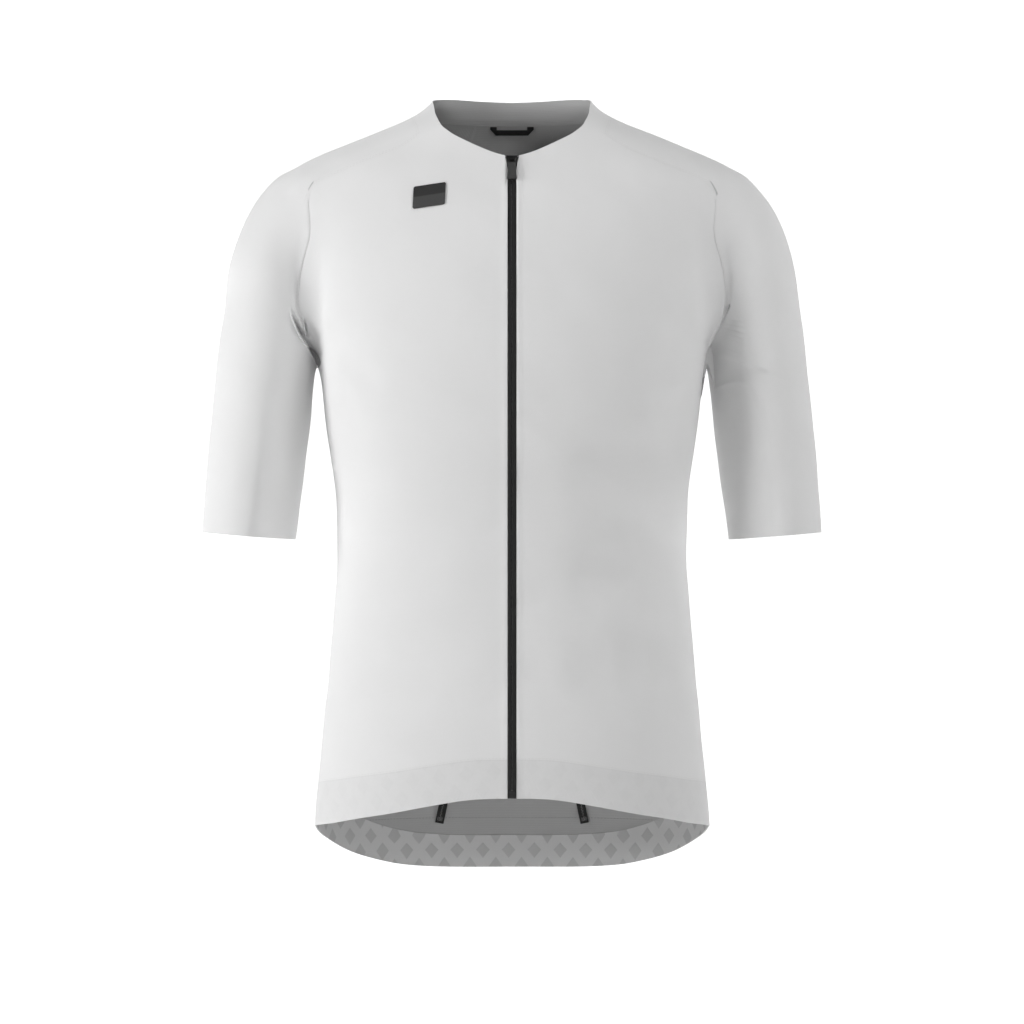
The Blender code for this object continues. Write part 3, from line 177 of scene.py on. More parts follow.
Fold = namedtuple("Fold", "marks sharp width depth grow lip power side")
FOLDS = (
    # wearer's right: two folds on the sleeve that run into a deep tuck
    Fold(
        [(-0.1975, -0.1640), (-0.1957, -0.1738), (-0.1912, -0.1850), (-0.1868, -0.1930), (-0.1815, -0.2005),
         (-0.1772, -0.2062)],
        sharp=0.0006, width=0.0050, depth=0.0160, grow=0.5, lip=0.0034, power=2, side=FRONT,
    ),
    Fold(
        [(-0.1866, -0.1705), (-0.1848, -0.1820), (-0.1838, -0.1900), (-0.1832, -0.1935)],
        sharp=0.0006, width=0.0026, depth=0.0070, grow=0.6, lip=0.0022, power=2, side=FRONT,
    ),
    Fold(
        [(-0.1836, -0.1985), (-0.1806, -0.2040), (-0.1782, -0.2085), (-0.1768, -0.2125)],
        sharp=0.0007, width=0.0050, depth=0.0320, grow=0.25, lip=0.0, power=6, side=FRONT,
    ),
    # wearer's left: the front stands proud of a deep hollow on the sleeve
    Fold(
        [(0.1893, -0.1503), (0.1886, -0.1618), (0.1862, -0.1787), (0.1800, -0.1929), (0.1748, -0.2035),
         (0.1719, -0.2142), (0.1711, -0.2231)],
        sharp=0.0009, width=0.0320, depth=0.0265, grow=0.9, lip=0.0006, power=2, side=FRONT,
    ),
    # the same at the back, shallower
    Fold(
        [(0.1900, -0.1600), (0.1868, -0.1760), (0.1800, -0.1930), (0.1720, -0.2100)],
        sharp=0.0020, width=0.0090, depth=0.0040, grow=0.7, lip=0.0006, power=2, side=BACK,
    ),
    Fold(
        [(-0.1960, -0.1680), (-0.1905, -0.1850), (-0.1830, -0.2010), (-0.1745, -0.2130)],
        sharp=0.0018, width=0.0060, depth=0.0030, grow=0.7, lip=0.0007, power=2, side=BACK,
    ),
)
FOLD_NARROW, FOLD_REACH, FOLD_GAIN = 0.45, 2.4, 8.0
FOLD_FLOOR_Y = 0.0010

# ==== The round of the shoulders: shifts along the cloth's outward way, on both sides ====

Shift = namedtuple("Shift", "x z width height")
SHOULDER_SHIFTS = (
    Shift(x=0.2170, z=-0.0500, width=0.0200, height=-0.0022),
    Shift(x=0.1860, z=-0.0370, width=0.0190, height=0.0012),
)

# The inner side of each sleeve, set back from a line that runs down the sleeve to its inner edge
TURN_TOP_Z, TURN_FOOT_Z = -0.218, -0.370
TURN_INNER_X = (0.1700, 0.1900)
TURN_RISE_Z = 0.022
TURN_BEHIND = 0.4
Turn = namedtuple("Turn", "hand width depth foot_depth")
TURNS = (
    Turn(hand=1.0, width=0.054, depth=0.0270, foot_depth=0.0160),
    Turn(hand=-1.0, width=0.046, depth=0.0130, foot_depth=0.0190),
)

# Slow unevenness of the whole cloth: wave lengths in metres and the height of each
Wave = namedtuple("Wave", "x y z phase height")
WAVES = (
    Wave(x=0.110, y=0.160, z=0.085, phase=0.4, height=0.00022),
    Wave(x=0.062, y=0.090, z=0.130, phase=1.9, height=0.00016),
    Wave(x=0.170, y=0.070, z=0.052, phase=2.7, height=0.00012),
    Wave(x=0.045, y=0.055, z=0.071, phase=5.1, height=0.00007),
)

# ==== Bands: ribs, and the lattice of diamonds ====

BAND_RIB = 0.0012
DIAMOND_PITCH, DIAMOND_SLANT = 0.0190, math.radians(38)
DIAMOND_LINE = (0.40, 0.50)

# ==== The zip's rows, and the folded cloth edges beside them ====

EDGE_ROLL_X, EDGE_ROLL_WIDTH, EDGE_ROLL_HEIGHT, EDGE_ROLL_FACING = 0.0058, 0.0020, 0.00055, -0.3
TEETH_HALF, TEETH_GAP, TEETH_CROWN, TEETH_THICK = 0.0034, 0.00003, 0.00045, 0.0012
TEETH_TOP_Z, TEETH_SLICE = -0.0440, 0.0006
TEETH_ALONG, TEETH_ACROSS, TEETH_EVENED = 140, 7, 9
RIB_LENGTH, RIB_THICK, RIB_RISE = 0.0015, 0.00075, 0.62
RIB_SLANT, RIB_LANES = math.radians(32), ((0.00115, 1.0), (0.00245, -1.0))

# ==== The zip's hard parts, from the pull's pivot: X across, -Y out of the cloth, Z up the zip ====

TILT_SLICE = 0.0015
BODY_PLACE, BODY_SIZE, BODY_ROUND = (0.0, 0.0023, -0.0014), (0.0104, 0.0026, 0.0098), 0.00045
BODY_NECK_Z, BODY_WAIST_Z, BODY_FOOT_Z = 0.0010, -0.0040, -0.0055
BODY_WAIST_SHARE, BODY_FOOT_SHARE = 0.80, 0.62
BODY_FACE_Z, BODY_FACE_Y, BODY_FACE_LEAN = 0.0020, 0.0020, 0.0008
BRIDGE_Y, BRIDGE_ARM, BRIDGE_RADIUS, BRIDGE_SPREAD = 0.0012, 0.0024, 0.00050, 1.7
BRIDGE_SIDES, BRIDGE_STEPS = 10, 18
PLATE_PLACE, PLATE_SIZE, PLATE_ROUND = (0.0, 0.0, -0.0116), (0.0081, 0.0013, 0.0160), 0.00035
PLATE_CUTS_Z, PLATE_LIP_Z = (-0.0166, -0.0181), -0.0180
PLATE_LIP_SHARE, PLATE_LIP_MIDDLE = (1.03, 1.9, 1.0), (0.0, 0.0, -0.019)
PLATE_PANEL_Z, PLATE_BORDER, PLATE_BORDER_STEP, PLATE_SUNK = -0.0165, 0.0009, 0.0002, 0.0003
PLATE_SHOULDER_Z, PLATE_SHOULDER_X, PLATE_SHOULDER_SHARE = -0.0038, 0.0035, 0.86
EYE_SIZE, EYE_INNER_X, EYE_ARM, EYE_ROUND = (0.0066, 0.0010, 0.0010), 0.0016, 0.0032, 0.0003
BOX_CUT, BOX_TOP, BOX_TOP_SHARE, BOX_PANEL = 0.72, 0.9, 0.82, 0.6
BOX_BORDER, BOX_SUNK, BOX_ROUND = 0.0007, 0.0003, 0.0004
FLAT_FACING, NEAR_PLANE = 0.9, 0.0004

# ==== Seams and their stitches ====

STITCH_OFF, SHORTEST_LINE = 0.0009, 12
THREAD_LIFT, THREAD_FLAT = 0.2, 0.7
GROOVE_REACH = 5
SEAM_EDGE_RADIUS, SEAM_EDGE_RISE = 0.00028, 0.00016
SEAM_EDGE_TOP_Z, SEAM_EDGE_FOOT_Z = -0.070, -0.160

# ==== Pockets and the tapes behind them ====

RoutePoint = namedtuple("RoutePoint", "x z")
DIVIDER = (
    RoutePoint(x=0.0679, z=-0.6370),
    RoutePoint(x=0.0643, z=-0.6200),
    RoutePoint(x=0.0604, z=-0.6000),
    RoutePoint(x=0.0548, z=-0.5650),
    RoutePoint(x=0.0500, z=-0.5200),
    RoutePoint(x=0.0460, z=-0.4500),
)
POCKET_HEM, POCKET_INSET, POCKET_LEVEL = 0.0110, 0.0018, 0.7
POCKET_DIP, POCKET_DIP_WIDTH = 0.0011, 0.0040
POCKET_COLUMN, POCKET_CORNER = 0.0060, 0.0040
DIVIDER_PAIR = 0.0010
FOOT_ROW_Z, FOOT_ROW_X, FOOT_ROW_POINTS, FOOT_THREAD = -0.6322, 0.150, 120, 1.3
# painted shade: the foot row's real stitches get a darkened thread that stands for the shade of the fold they
# run in
FOOT_THREAD_PAINTED_SHADE = 0.3
ZIGZAG_LENGTH, ZIGZAG_PITCH, ZIGZAG_LIFT, ZIGZAG_THREAD = 0.0026, 0.0013, 0.0001, 1.7
ZIGZAG_SLANT, ZIGZAG_END = math.radians(52), 2
BARTACK_LENGTH, BARTACK_PITCH, BARTACK_LIFT, BARTACK_THREAD = 0.0022, 0.0016, 0.0002, 1.4
BARTACK_X, BARTACK_BARS, BARTACK_FOOT, BARTACK_STITCHES = 0.0022, 7, 6, 2

# ==== The label, and the hanger loop ====

LABEL_WIDTH, LABEL_HEIGHT, LABEL_CORNER, LABEL_CORNER_STEPS = 0.0282, 0.0200, 0.0016, 6
LABEL_THICK, LABEL_LIFT, LABEL_ROUND = 0.0009, 0.0001, 0.00025
LABEL_BORDER, LABEL_BORDER_STEP = 0.0011, 0.0002
LABEL_TILT, LABEL_LEAN = math.radians(8), 0.035
LABEL_STRIP, LABEL_REACH = 0.0025, (0.016, 0.0, 0.013)
LABEL_SPLIT, LABEL_SPLIT_SOFT = 0.47, 0.0005
LOOP_HALF, LOOP_TAPE, LOOP_TOP_Z, LOOP_FOOT_Z = 0.0200, 0.0060, 0.0066, -0.0006
LOOP_BAR, LOOP_CHAMFER, LOOP_THICK, LOOP_OFF = 0.0045, 0.0050, 0.0008, 0.0003
LOOP_STRIP, LOOP_ROUND = 0.0015, 0.0002
PLATE_EDGE_STEPS, PLATE_EDGE_ANGLE = 2, math.radians(50)

# ==== Camera and light ====

CAMERA = (0.0, -3.0, -0.3474)
SENSOR, PICTURE_WIDTH, FAR = 36.0, 0.9216, 50.0
FLOOR_Z, FLOOR_Y, FLOOR_SIZE = -0.86, -2.0, 16.0
WALL_HEIGHT, SWEEP, SWEEP_STEPS, NEARLY = 8.0, 3.0, 24, 0.1
BACKDROP_GLOW, GLOW_FROM_Y, GLOW_TO_Y = 0.83, 0.05, 0.45
LIGHT_AIM = (0.0, 0.0, -0.35)
Lamp = namedtuple("Lamp", "name place size power")
LAMPS = (
    Lamp("key", place=(-3.4, -1.3, 0.5), size=1.8, power=100.0),
    Lamp("front", place=(1.4, -3.3, 0.6), size=1.4, power=18.0),
    Lamp("top", place=(1.8, -1.2, 2.2), size=1.4, power=51.0),
)

LEFT_AND_RIGHT = ((1.0, "left"), (-1.0, "right"))
OUTSIDE_Y = 0.3
Line = namedtuple("Line", "points ways")
sewing = {}


def measure(name, description, default, low, high):
    return FloatProperty(
        name=name, description=description, default=default, min=low, max=high, subtype="DISTANCE"
    )


class JerseySizes(bpy.types.PropertyGroup):
    cloth: measure("Cloth", "Thickness of the knit", 0.0009, 0.0003, 0.0012)
    band: measure("Band", "Thickness of the hem bands", 0.0013, 0.0005, 0.0016)
    groove: measure("Seam groove", "How deep the cloth sinks at a seam", 0.00011, 0.0, 0.001)
    groove_width: measure("Groove width", "Half width of the sunk line", 0.0016, 0.0005, 0.005)
    stitch: measure("Stitch", "Length of one stitch", 0.0023, 0.001, 0.005)
    stitch_pitch: measure("Stitch pitch", "From one stitch to the next", 0.0031, 0.0015, 0.008)
    thread: measure("Thread", "Thickness of the sewing thread", 0.00022, 0.0001, 0.001)
    rib_pitch: measure("Zip rib pitch", "From one rib of the zip to the next", 0.0013, 0.0008, 0.003)
    knit_pitch: measure("Knit pitch", "From one wale of the knit to the next", 0.0010, 0.0004, 0.004)
    pull_segments: IntProperty(
        name="Edge steps", description="Steps in the rounded edges of the zip's hard parts", default=3, min=1,
        max=6,
    )


def grey(name, description, level):
    """A colour that starts as a grey of this level."""
    return FloatVectorProperty(
        name=name, description=description, default=(level,) * 3, min=0.0, max=1.0, size=3, subtype="COLOR"
    )


class JerseyColours(bpy.types.PropertyGroup):
    knit: grey("Knit", "The panels, the sleeves and the collar", 0.80)
    # painted shade: the knit's inner side is greyed to stand for the shade inside the jersey
    reverse: grey("Reverse", "The knit's inner side", 0.54)
    band: grey("Band", "The gripper bands at the hem", 0.735)
    # painted shade: the bands' inner side is a little greyer than the band, for the shade inside the hem
    band_reverse_painted_shade: grey("Band reverse", "The hem bands' inner side", 0.72)
    gripper: grey("Gripper", "The tone of the diamonds inside the hem bands", 0.58)
    thread: grey("Thread", "The seams' thread", 0.70)
    tape: grey("Tape", "Zip tapes, pocket tapes and the hanger loop", 0.013)
    tape_thread: grey("Tape thread", "The zigzag down the pocket tapes", 0.34)
    teeth: grey("Zip", "The zip's elements", 0.045)
    slider: grey("Slider", "The slider's lacquer", 0.018)
    ring: grey("Ring", "The bare metal of the slider's bridge", 0.30)
    pull: grey("Pull", "The pull tab's rubber", 0.042)
    label_upper: grey("Label, upper part", "The darker part of the chest label", 0.030)
    label_lower: grey("Label, lower part", "The lighter part of the chest label", 0.062)
    stage: grey("Stage", "The floor and the wall behind it", 0.93)


def sizes():
    return bpy.context.scene.jersey_sizes


def colours():
    return bpy.context.scene.jersey_colours


# ==== Selecting and shaping ====


def clear_selection():
    if bpy.context.object and bpy.context.object.mode != "OBJECT":
        bpy.ops.object.mode_set(mode="OBJECT")
    bpy.ops.object.select_all(action="DESELECT")


def pick(*objs):
    """Selects these objects alone and makes the last one active."""
    clear_selection()
    for obj in objs:
        obj.select_set(True)
    bpy.context.view_layer.objects.active = objs[-1]


@contextmanager
def editing(obj, select="FACE", everything=False):
    """Edit mode on one object, with nothing or everything selected at the start."""
    pick(obj)
    bpy.ops.object.mode_set(mode="EDIT")
    bpy.ops.mesh.select_mode(type=select)
    bpy.ops.mesh.select_all(action="SELECT" if everything else "DESELECT")
    yield
    bpy.ops.object.mode_set(mode="OBJECT")


def select_by(obj, kind, wanted):
    """Selects the faces, edges or vertices for which wanted(element) holds, in edit mode."""
    data = bmesh.from_edit_mesh(obj.data)
    for element in getattr(data, kind):
        element.select_set(bool(wanted(element)))
    data.select_flush_mode()
    bmesh.update_edit_mesh(obj.data)


def cut_at(place, normal):
    """Cuts the whole piece along a plane, in edit mode."""
    bpy.ops.mesh.select_all(action="SELECT")
    bpy.ops.mesh.bisect(plane_co=place, plane_no=normal)


def scaled(share, **settings):
    """Scales what is selected, in edit mode."""
    bpy.ops.transform.resize(value=share, **settings)


def into_mesh():
    """Moves the selected piece's place, turn and scale into its mesh."""
    bpy.ops.object.transform_apply(location=True, rotation=True, scale=True)


def new_piece(name):
    """The piece that an operator has just added, with its name."""
    obj = bpy.context.object
    obj.name = obj.data.name = name
    return obj


def block(name, place, size):
    """A block at a place, for a piece that is shaped from it."""
    clear_selection()
    bpy.ops.mesh.primitive_cube_add(size=1.0, location=place, scale=size)
    obj = new_piece(name)
    into_mesh()
    return obj


def upright_plane(name, width, height, z=0.0):
    """A flat rectangle that faces the front, for a piece that is shaped from it."""
    clear_selection()
    bpy.ops.mesh.primitive_plane_add(size=1.0, rotation=(math.pi / 2, 0.0, 0.0))
    obj = new_piece(name)
    obj.scale = (width, height, 1.0)
    obj.location = (0.0, 0.0, z)
    into_mesh()
    return obj


def placed(name, data):
    """A new object in the scene that holds this data."""
    obj = bpy.data.objects.new(name, data)
    bpy.context.scene.collection.objects.link(obj)
    return obj


def apply_modifiers(obj):
    pick(obj)
    for modifier in list(obj.modifiers):
        bpy.ops.object.modifier_apply(modifier=modifier.name)


def add_modifier(obj, kind, **settings):
    modifier = obj.modifiers.new(kind.lower(), kind)
    for key, value in settings.items():
        setattr(modifier, key, value)
    return modifier


def rounded(obj, width):
    """Rounds the edges of one of the zip's hard parts."""
    add_modifier(obj, "BEVEL", width=width, segments=sizes().pull_segments, limit_method="ANGLE")
    apply_modifiers(obj)
    return obj


def settle(obj, matrix=None):
    """Moves a piece's place into its mesh, and turns its faces outwards."""
    pick(obj)
    if matrix:
        obj.matrix_world = matrix @ obj.matrix_world
    into_mesh()
    with editing(obj, everything=True):
        bpy.ops.mesh.normals_make_consistent(inside=False)


def turn_over(obj):
    with editing(obj, everything=True):
        bpy.ops.mesh.flip_normals()


def read(items, key, kind=np.float32, width=1):
    """One value of each of a mesh's items: a row of them where the value has a width."""
    flat = np.empty(len(items) * width, kind)
    items.foreach_get(key, flat)
    return flat.reshape(-1, width) if width > 1 else flat


def places(mesh):
    return read(mesh.vertices, "co", width=3).astype(float)


def set_places(mesh, points):
    mesh.vertices.foreach_set("co", points.astype(np.float32).ravel())
    mesh.update()


def outward(mesh):
    return read(mesh.vertex_normals, "vector", width=3).astype(float)


def unit(vectors):
    length = np.linalg.norm(vectors, axis=-1, keepdims=True)
    return vectors / np.maximum(length, 1e-12)


def tree_of(obj):
    mesh = obj.data
    corners = [v.co.copy() for v in mesh.vertices]
    return BVHTree.FromPolygons(corners, [tuple(p.vertices) for p in mesh.polygons])


def dress(obj, slot, *looks, body=JERSEY, replaces=()):
    """Gives a piece its materials, slot by slot, and its body, and hides the frame's parts that it replaces.
    """
    slots = read(obj.data.polygons, "material_index", np.int32)
    obj.data.materials.clear()
    for look in looks:
        obj.data.materials.append(material(look))
    obj.data.polygons.foreach_set("material_index", slots)
    pick(obj)
    bpy.ops.object.shade_smooth_by_angle(angle=SHADE_ANGLE)
    if replaces:
        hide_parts(*replaces)
    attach(obj, body)


# ==== Materials ====


class Look:
    """A material's nodes, added one after another."""

    def __init__(self, name, base, roughness, **values):
        self.material = bpy.data.materials.new(name)
        self.material.use_nodes = True
        self.nodes = self.material.node_tree.nodes
        self.links = self.material.node_tree.links
        self.shader = self.nodes["Principled BSDF"]
        self.shader.inputs["Base Color"].default_value = (*base, 1.0)
        self.shader.inputs["Roughness"].default_value = roughness
        for key, value in values.items():
            self.shader.inputs[key.replace("_", " ")].default_value = value
        self.base = base

    def add(self, kind, inputs=(), **settings):
        node = self.nodes.new(kind)
        for key, value in settings.items():
            setattr(node, key, value)
        for key, value in dict(inputs).items():
            if isinstance(value, bpy.types.NodeSocket):
                self.links.new(value, node.inputs[key])
            else:
                node.inputs[key].default_value = value
        return node

    def coordinates(self, name):
        return self.add("ShaderNodeTexCoord").outputs[name]

    def mapped(self, source, scale=(1.0, 1.0, 1.0), turn=0.0):
        inputs = {"Vector": source, "Scale": scale, "Rotation": (0.0, 0.0, turn)}
        return self.add("ShaderNodeMapping", inputs).outputs[0]

    def bands(self, source, pitch, turn=0.0, profile="SIN"):
        """Even stripes with this pitch in metres, from 0 to 1."""
        scale = 2 * math.pi / (20 * pitch)
        vector = self.mapped(source, turn=turn)
        wave = self.add("ShaderNodeTexWave", {"Vector": vector, "Scale": scale}, bands_direction="X")
        wave.wave_profile = profile
        return wave.outputs["Fac"]

    def noise(self, source, size, detail=2.0):
        """Cloudy spots of about this size in metres, from 0 to 1."""
        inputs = {"Vector": source, "Scale": 1 / size, "Detail": detail}
        return self.add("ShaderNodeTexNoise", inputs).outputs["Fac"]

    def math(self, operation, first, second):
        return self.add("ShaderNodeMath", {0: first, 1: second}, operation=operation).outputs[0]

    def spread(self, source, low, high, from_low=0.0, from_high=1.0):
        inputs = {"Value": source, "From Min": from_low, "From Max": from_high, "To Min": low, "To Max": high}
        return self.add("ShaderNodeMapRange", inputs).outputs[0]

    def tint(self, factor, first, second):
        """A colour between two, by a factor, as the base colour."""
        mix = self.add("ShaderNodeMix", data_type="RGBA")
        self.links.new(factor, mix.inputs["Factor"])
        for key, value in (("A", first), ("B", second)):
            socket = next(s for s in mix.inputs if s.name == key and s.type == "RGBA")
            if isinstance(value, bpy.types.NodeSocket):
                self.links.new(value, socket)
            else:
                socket.default_value = (*value, 1.0)
        result = next(s for s in mix.outputs if s.type == "RGBA")
        self.links.new(result, self.shader.inputs["Base Color"])
        return result

    def rough(self, source):
        self.links.new(source, self.shader.inputs["Roughness"])

    def bump(self, *layers):
        """Relief from pairs of height and distance in metres, one on top of the other."""
        normal = None
        for height, distance in layers:
            inputs = {"Height": height, "Distance": distance, "Strength": 1.0}
            if normal:
                inputs["Normal"] = normal
            normal = self.add("ShaderNodeBump", inputs).outputs[0]
        self.links.new(normal, self.shader.inputs["Normal"])


def shaded(base, share):
    return tuple(min(1.0, channel * share) for channel in base)


def knit_look(name):
    """Fine warp knit: wales and courses, with a faint cloudiness."""
    look = Look(name, colours().knit, 0.66, Sheen_Weight=0.22, Sheen_Roughness=0.45, Specular_IOR_Level=0.30)
    uv = look.coordinates("UV")
    place = look.coordinates("Object")
    pitch = sizes().knit_pitch
    wales = look.bands(uv, pitch)
    courses = look.bands(uv, pitch * 0.7, math.pi / 2)
    loops = look.math("MULTIPLY", wales, courses)
    cloud = look.noise(place, 0.060)
    fibre = look.noise(place, 0.0016, 3.0)
    shade = look.math("ADD", look.spread(loops, 0.0, 0.5), look.spread(cloud, 0.0, 0.5, 0.3, 0.7))
    look.tint(shade, shaded(look.base, 0.965), shaded(look.base, 1.01))
    look.rough(look.spread(cloud, 0.60, 0.72, 0.3, 0.7))
    look.bump((loops, 0.00005), (fibre, 0.00006))
    return look.material


def painted_shade_reverse_look(name):
    """The knit's reverse: duller, with longer loops, and greyed as painted shade for the shade inside the
    jersey.
    """
    look = Look(name, colours().reverse, 0.80, Sheen_Weight=0.10, Specular_IOR_Level=0.20)
    uv = look.coordinates("UV")
    loops = look.math("MULTIPLY", look.bands(uv, sizes().knit_pitch), look.bands(uv, 0.0022, math.pi / 2))
    look.tint(loops, shaded(look.base, 0.96), shaded(look.base, 1.02))
    look.bump((loops, 0.00007))
    return look.material


def band_look(name):
    """Elastic band: close ribs, with large tone-on-tone diamonds that hardly show."""
    look = Look(name, colours().band, 0.58, Sheen_Weight=0.15, Specular_IOR_Level=0.35)
    uv = look.coordinates("UV")
    ribs = look.bands(uv, BAND_RIB)
    tone = diamonds(look, uv)
    mottle = look.noise(look.coordinates("Object"), 0.0060, 3.0)
    shade = look.math("ADD", look.spread(tone, 0.0, 0.6), look.spread(mottle, 0.0, 0.4, 0.35, 0.65))
    look.tint(shade, look.base, shaded(look.base, 0.970))
    look.rough(look.spread(tone, 0.60, 0.52))
    look.bump((ribs, 0.00006), (tone, 0.00006))
    return look.material


def diamonds(look, uv):
    """Diamonds in a lattice with narrow lines between them, from 0 to 1."""
    lattice = look.math(
        "MINIMUM", look.bands(uv, DIAMOND_PITCH, DIAMOND_SLANT), look.bands(uv, DIAMOND_PITCH, -DIAMOND_SLANT)
    )
    return look.spread(lattice, 0.0, 1.0, *DIAMOND_LINE)


def gripper_look(name):
    """The bands' inner side: dull knit, a little greyer than the band as painted shade for the shade inside
    the hem, with darker diamonds of a grippy print.
    """
    look = Look(name, colours().band_reverse_painted_shade, 0.66, Specular_IOR_Level=0.35)
    uv = look.coordinates("UV")
    tone = diamonds(look, uv)
    ribs = look.bands(uv, BAND_RIB)
    look.tint(tone, look.base, colours().gripper)
    look.rough(look.spread(tone, 0.70, 0.50))
    look.bump((ribs, 0.00005), (tone, 0.00012))
    return look.material


def thread_look(name, base):
    look = Look(name, base, 0.55, Sheen_Weight=0.3)
    twist = look.bands(look.coordinates("Object"), 0.0004, math.radians(35))
    look.tint(twist, shaded(base, 0.82), base)
    look.bump((twist, 0.00003))
    return look.material


def tape_look(name):
    """Woven tape: a close herringbone."""
    look = Look(name, colours().tape, 0.72, Sheen_Weight=0.20, Sheen_Roughness=0.4)
    place = look.coordinates("Object")
    one = look.bands(place, 0.0008, math.radians(40))
    other = look.bands(place, 0.0008, -math.radians(40))
    weave = look.math("MULTIPLY", one, other)
    look.tint(weave, shaded(look.base, 0.6), shaded(look.base, 2.2))
    look.bump((weave, 0.00009), (look.noise(place, 0.0006), 0.00003))
    return look.material


def teeth_look(name):
    """Dull black nylon."""
    look = Look(name, colours().teeth, 0.42, Specular_IOR_Level=0.45)
    grain = look.noise(look.coordinates("Object"), 0.0007, 3.0)
    look.tint(grain, shaded(look.base, 0.7), shaded(look.base, 1.5))
    look.rough(look.spread(grain, 0.36, 0.52))
    look.bump((grain, 0.00003))
    return look.material


def slider_look(name):
    look = Look(name, colours().slider, 0.28, Metallic=0.35, Coat_Weight=0.35, Coat_Roughness=0.15)
    wear = look.noise(look.coordinates("Object"), 0.0012, 4.0)
    look.tint(look.spread(wear, 0.0, 1.0, 0.60, 0.78), look.base, shaded(look.base, 3.0))
    look.rough(look.spread(wear, 0.22, 0.40))
    return look.material


def ring_look(name):
    look = Look(name, colours().ring, 0.30, Metallic=1.0)
    scratch = look.noise(look.mapped(look.coordinates("Object"), scale=(1.0, 6.0, 1.0)), 0.0010, 4.0)
    look.tint(scratch, shaded(look.base, 0.7), shaded(look.base, 1.25))
    look.rough(look.spread(scratch, 0.22, 0.42))
    return look.material


def pull_look(name):
    look = Look(name, colours().pull, 0.52, Specular_IOR_Level=0.45)
    place = look.coordinates("Object")
    grain = look.noise(place, 0.0005, 4.0)
    look.tint(grain, shaded(look.base, 0.8), shaded(look.base, 1.25))
    look.rough(look.spread(grain, 0.46, 0.62))
    look.bump((grain, 0.00004))
    return look.material


def label_look(name):
    """Moulded label whose upper part is darker, split along its tilt, with a fine grain."""
    look = Look(name, colours().label_lower, 0.58, Specular_IOR_Level=0.35)
    place = look.coordinates("Object")
    low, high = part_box("chest_label")
    tilt = math.tan(LABEL_TILT)
    split = high.z - LABEL_SPLIT * (high.z - low.z) - (low.x + high.x) / 2 * tilt
    parts = look.add("ShaderNodeSeparateXYZ", {"Vector": place}).outputs
    height = look.math("SUBTRACT", parts["Z"], look.math("MULTIPLY", parts["X"], tilt))
    upper = look.spread(height, 0.0, 1.0, split - LABEL_SPLIT_SOFT, split + LABEL_SPLIT_SOFT)
    look.tint(upper, colours().label_lower, colours().label_upper)
    grain = look.noise(place, 0.0005, 3.0)
    look.rough(look.spread(grain, 0.50, 0.66))
    look.bump((grain, 0.00004))
    return look.material


LOOKS = {
    "white_knit": knit_look,
    "knit_reverse": painted_shade_reverse_look,
    "white_band": band_look,
    "gripper_inside": gripper_look,
    "white_thread": lambda name: thread_look(name, colours().thread),
    "grey_thread": lambda name: thread_look(name, colours().tape_thread),
    "shade_thread": lambda name: thread_look(name, shaded(colours().tape_thread, FOOT_THREAD_PAINTED_SHADE)),
    "black_tape_weave": tape_look,
    "zip_elements": teeth_look,
    "slider_lacquer": slider_look,
    "bridge_metal": ring_look,
    "pull_rubber": pull_look,
    # the label in two tones: darker above a split along its tilt, lighter below
    "chest_label_print": label_look,
}


def material(name):
    """A material that is made once and then shared."""
    return bpy.data.materials.get(name) or LOOKS[name](name)


# ==== Cloth: sewing, creasing and cutting ====


def copy_of(node):
    """A copy of one of the frame's nodes that is a piece of its own."""
    obj = frame["nodes"][node].copy()
    obj.data = obj.data.copy()
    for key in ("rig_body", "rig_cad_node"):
        del obj[key]
    obj.parent = None
    bpy.context.scene.collection.objects.link(obj)
    return obj


def is_wall(tree, centre, normal):
    """Whether the far side of a wall lies close behind a face, as it does not behind a rim."""
    place, behind, _, _ = tree.ray_cast(centre - WALL_SKIP * normal, -normal, WALL_REACH)
    return place is not None and behind.dot(normal) < WALL_FACING


def skin_of(node, way):
    """The outer skin of one of the frame's walls, without its rim and its inner side."""
    obj = copy_of(node)
    with editing(obj, "EDGE", everything=True):
        bpy.ops.mesh.customdata_custom_splitnormals_clear()
        bpy.ops.mesh.remove_doubles(threshold=NODE_MERGE)
        bpy.ops.mesh.mark_sharp(clear=True)
    tree = tree_of(obj)
    with editing(obj):
        select_by(obj, "faces", lambda face: not is_wall(tree, face.calc_center_median(), face.normal))
        bpy.ops.mesh.delete(type="FACE")
    towards = Vector(way)
    facing = [f for f in obj.data.polygons if f.normal.dot(towards) > SEED_FACING]
    seed = max(facing, key=lambda f: f.center.dot(towards)).index
    with editing(obj):
        select_by(obj, "faces", lambda face: face.index == seed)
        bpy.ops.mesh.select_linked()
        bpy.ops.mesh.select_all(action="INVERT")
        bpy.ops.mesh.delete(type="VERT")
    return obj


def marked(obj, name):
    """Gives a skin one material slot that carries its name through the sewing."""
    obj.data.materials.clear()
    obj.data.materials.append(bpy.data.materials.new(name))
    return obj


def merged_to_quads(obj, merge=None):
    """Joins a skin's triangles to quads, after its panels are sewn together where a distance is given."""
    with editing(obj, everything=True):
        if merge:
            bpy.ops.mesh.remove_doubles(threshold=merge)
        bpy.ops.mesh.tris_convert_to_quads(
            face_threshold=math.pi, shape_threshold=math.pi, materials=bool(merge),
            topology_influence=QUAD_TOPOLOGY,
        )


def underarm(edge):
    """Whether an edge lies on the line under a sleeve, from the cuff to the armpit."""
    return all(
        abs(v.co.y) < UNDERARM_HALF_Y and UNDERARM_LOW_X < abs(v.co.x) < UNDERARM_HIGH_X
        and v.co.z < UNDERARM_TOP_Z
        for v in edge.verts
    ) and abs((edge.verts[0].co - edge.verts[1].co).z) > UNDERARM_STEP_Z


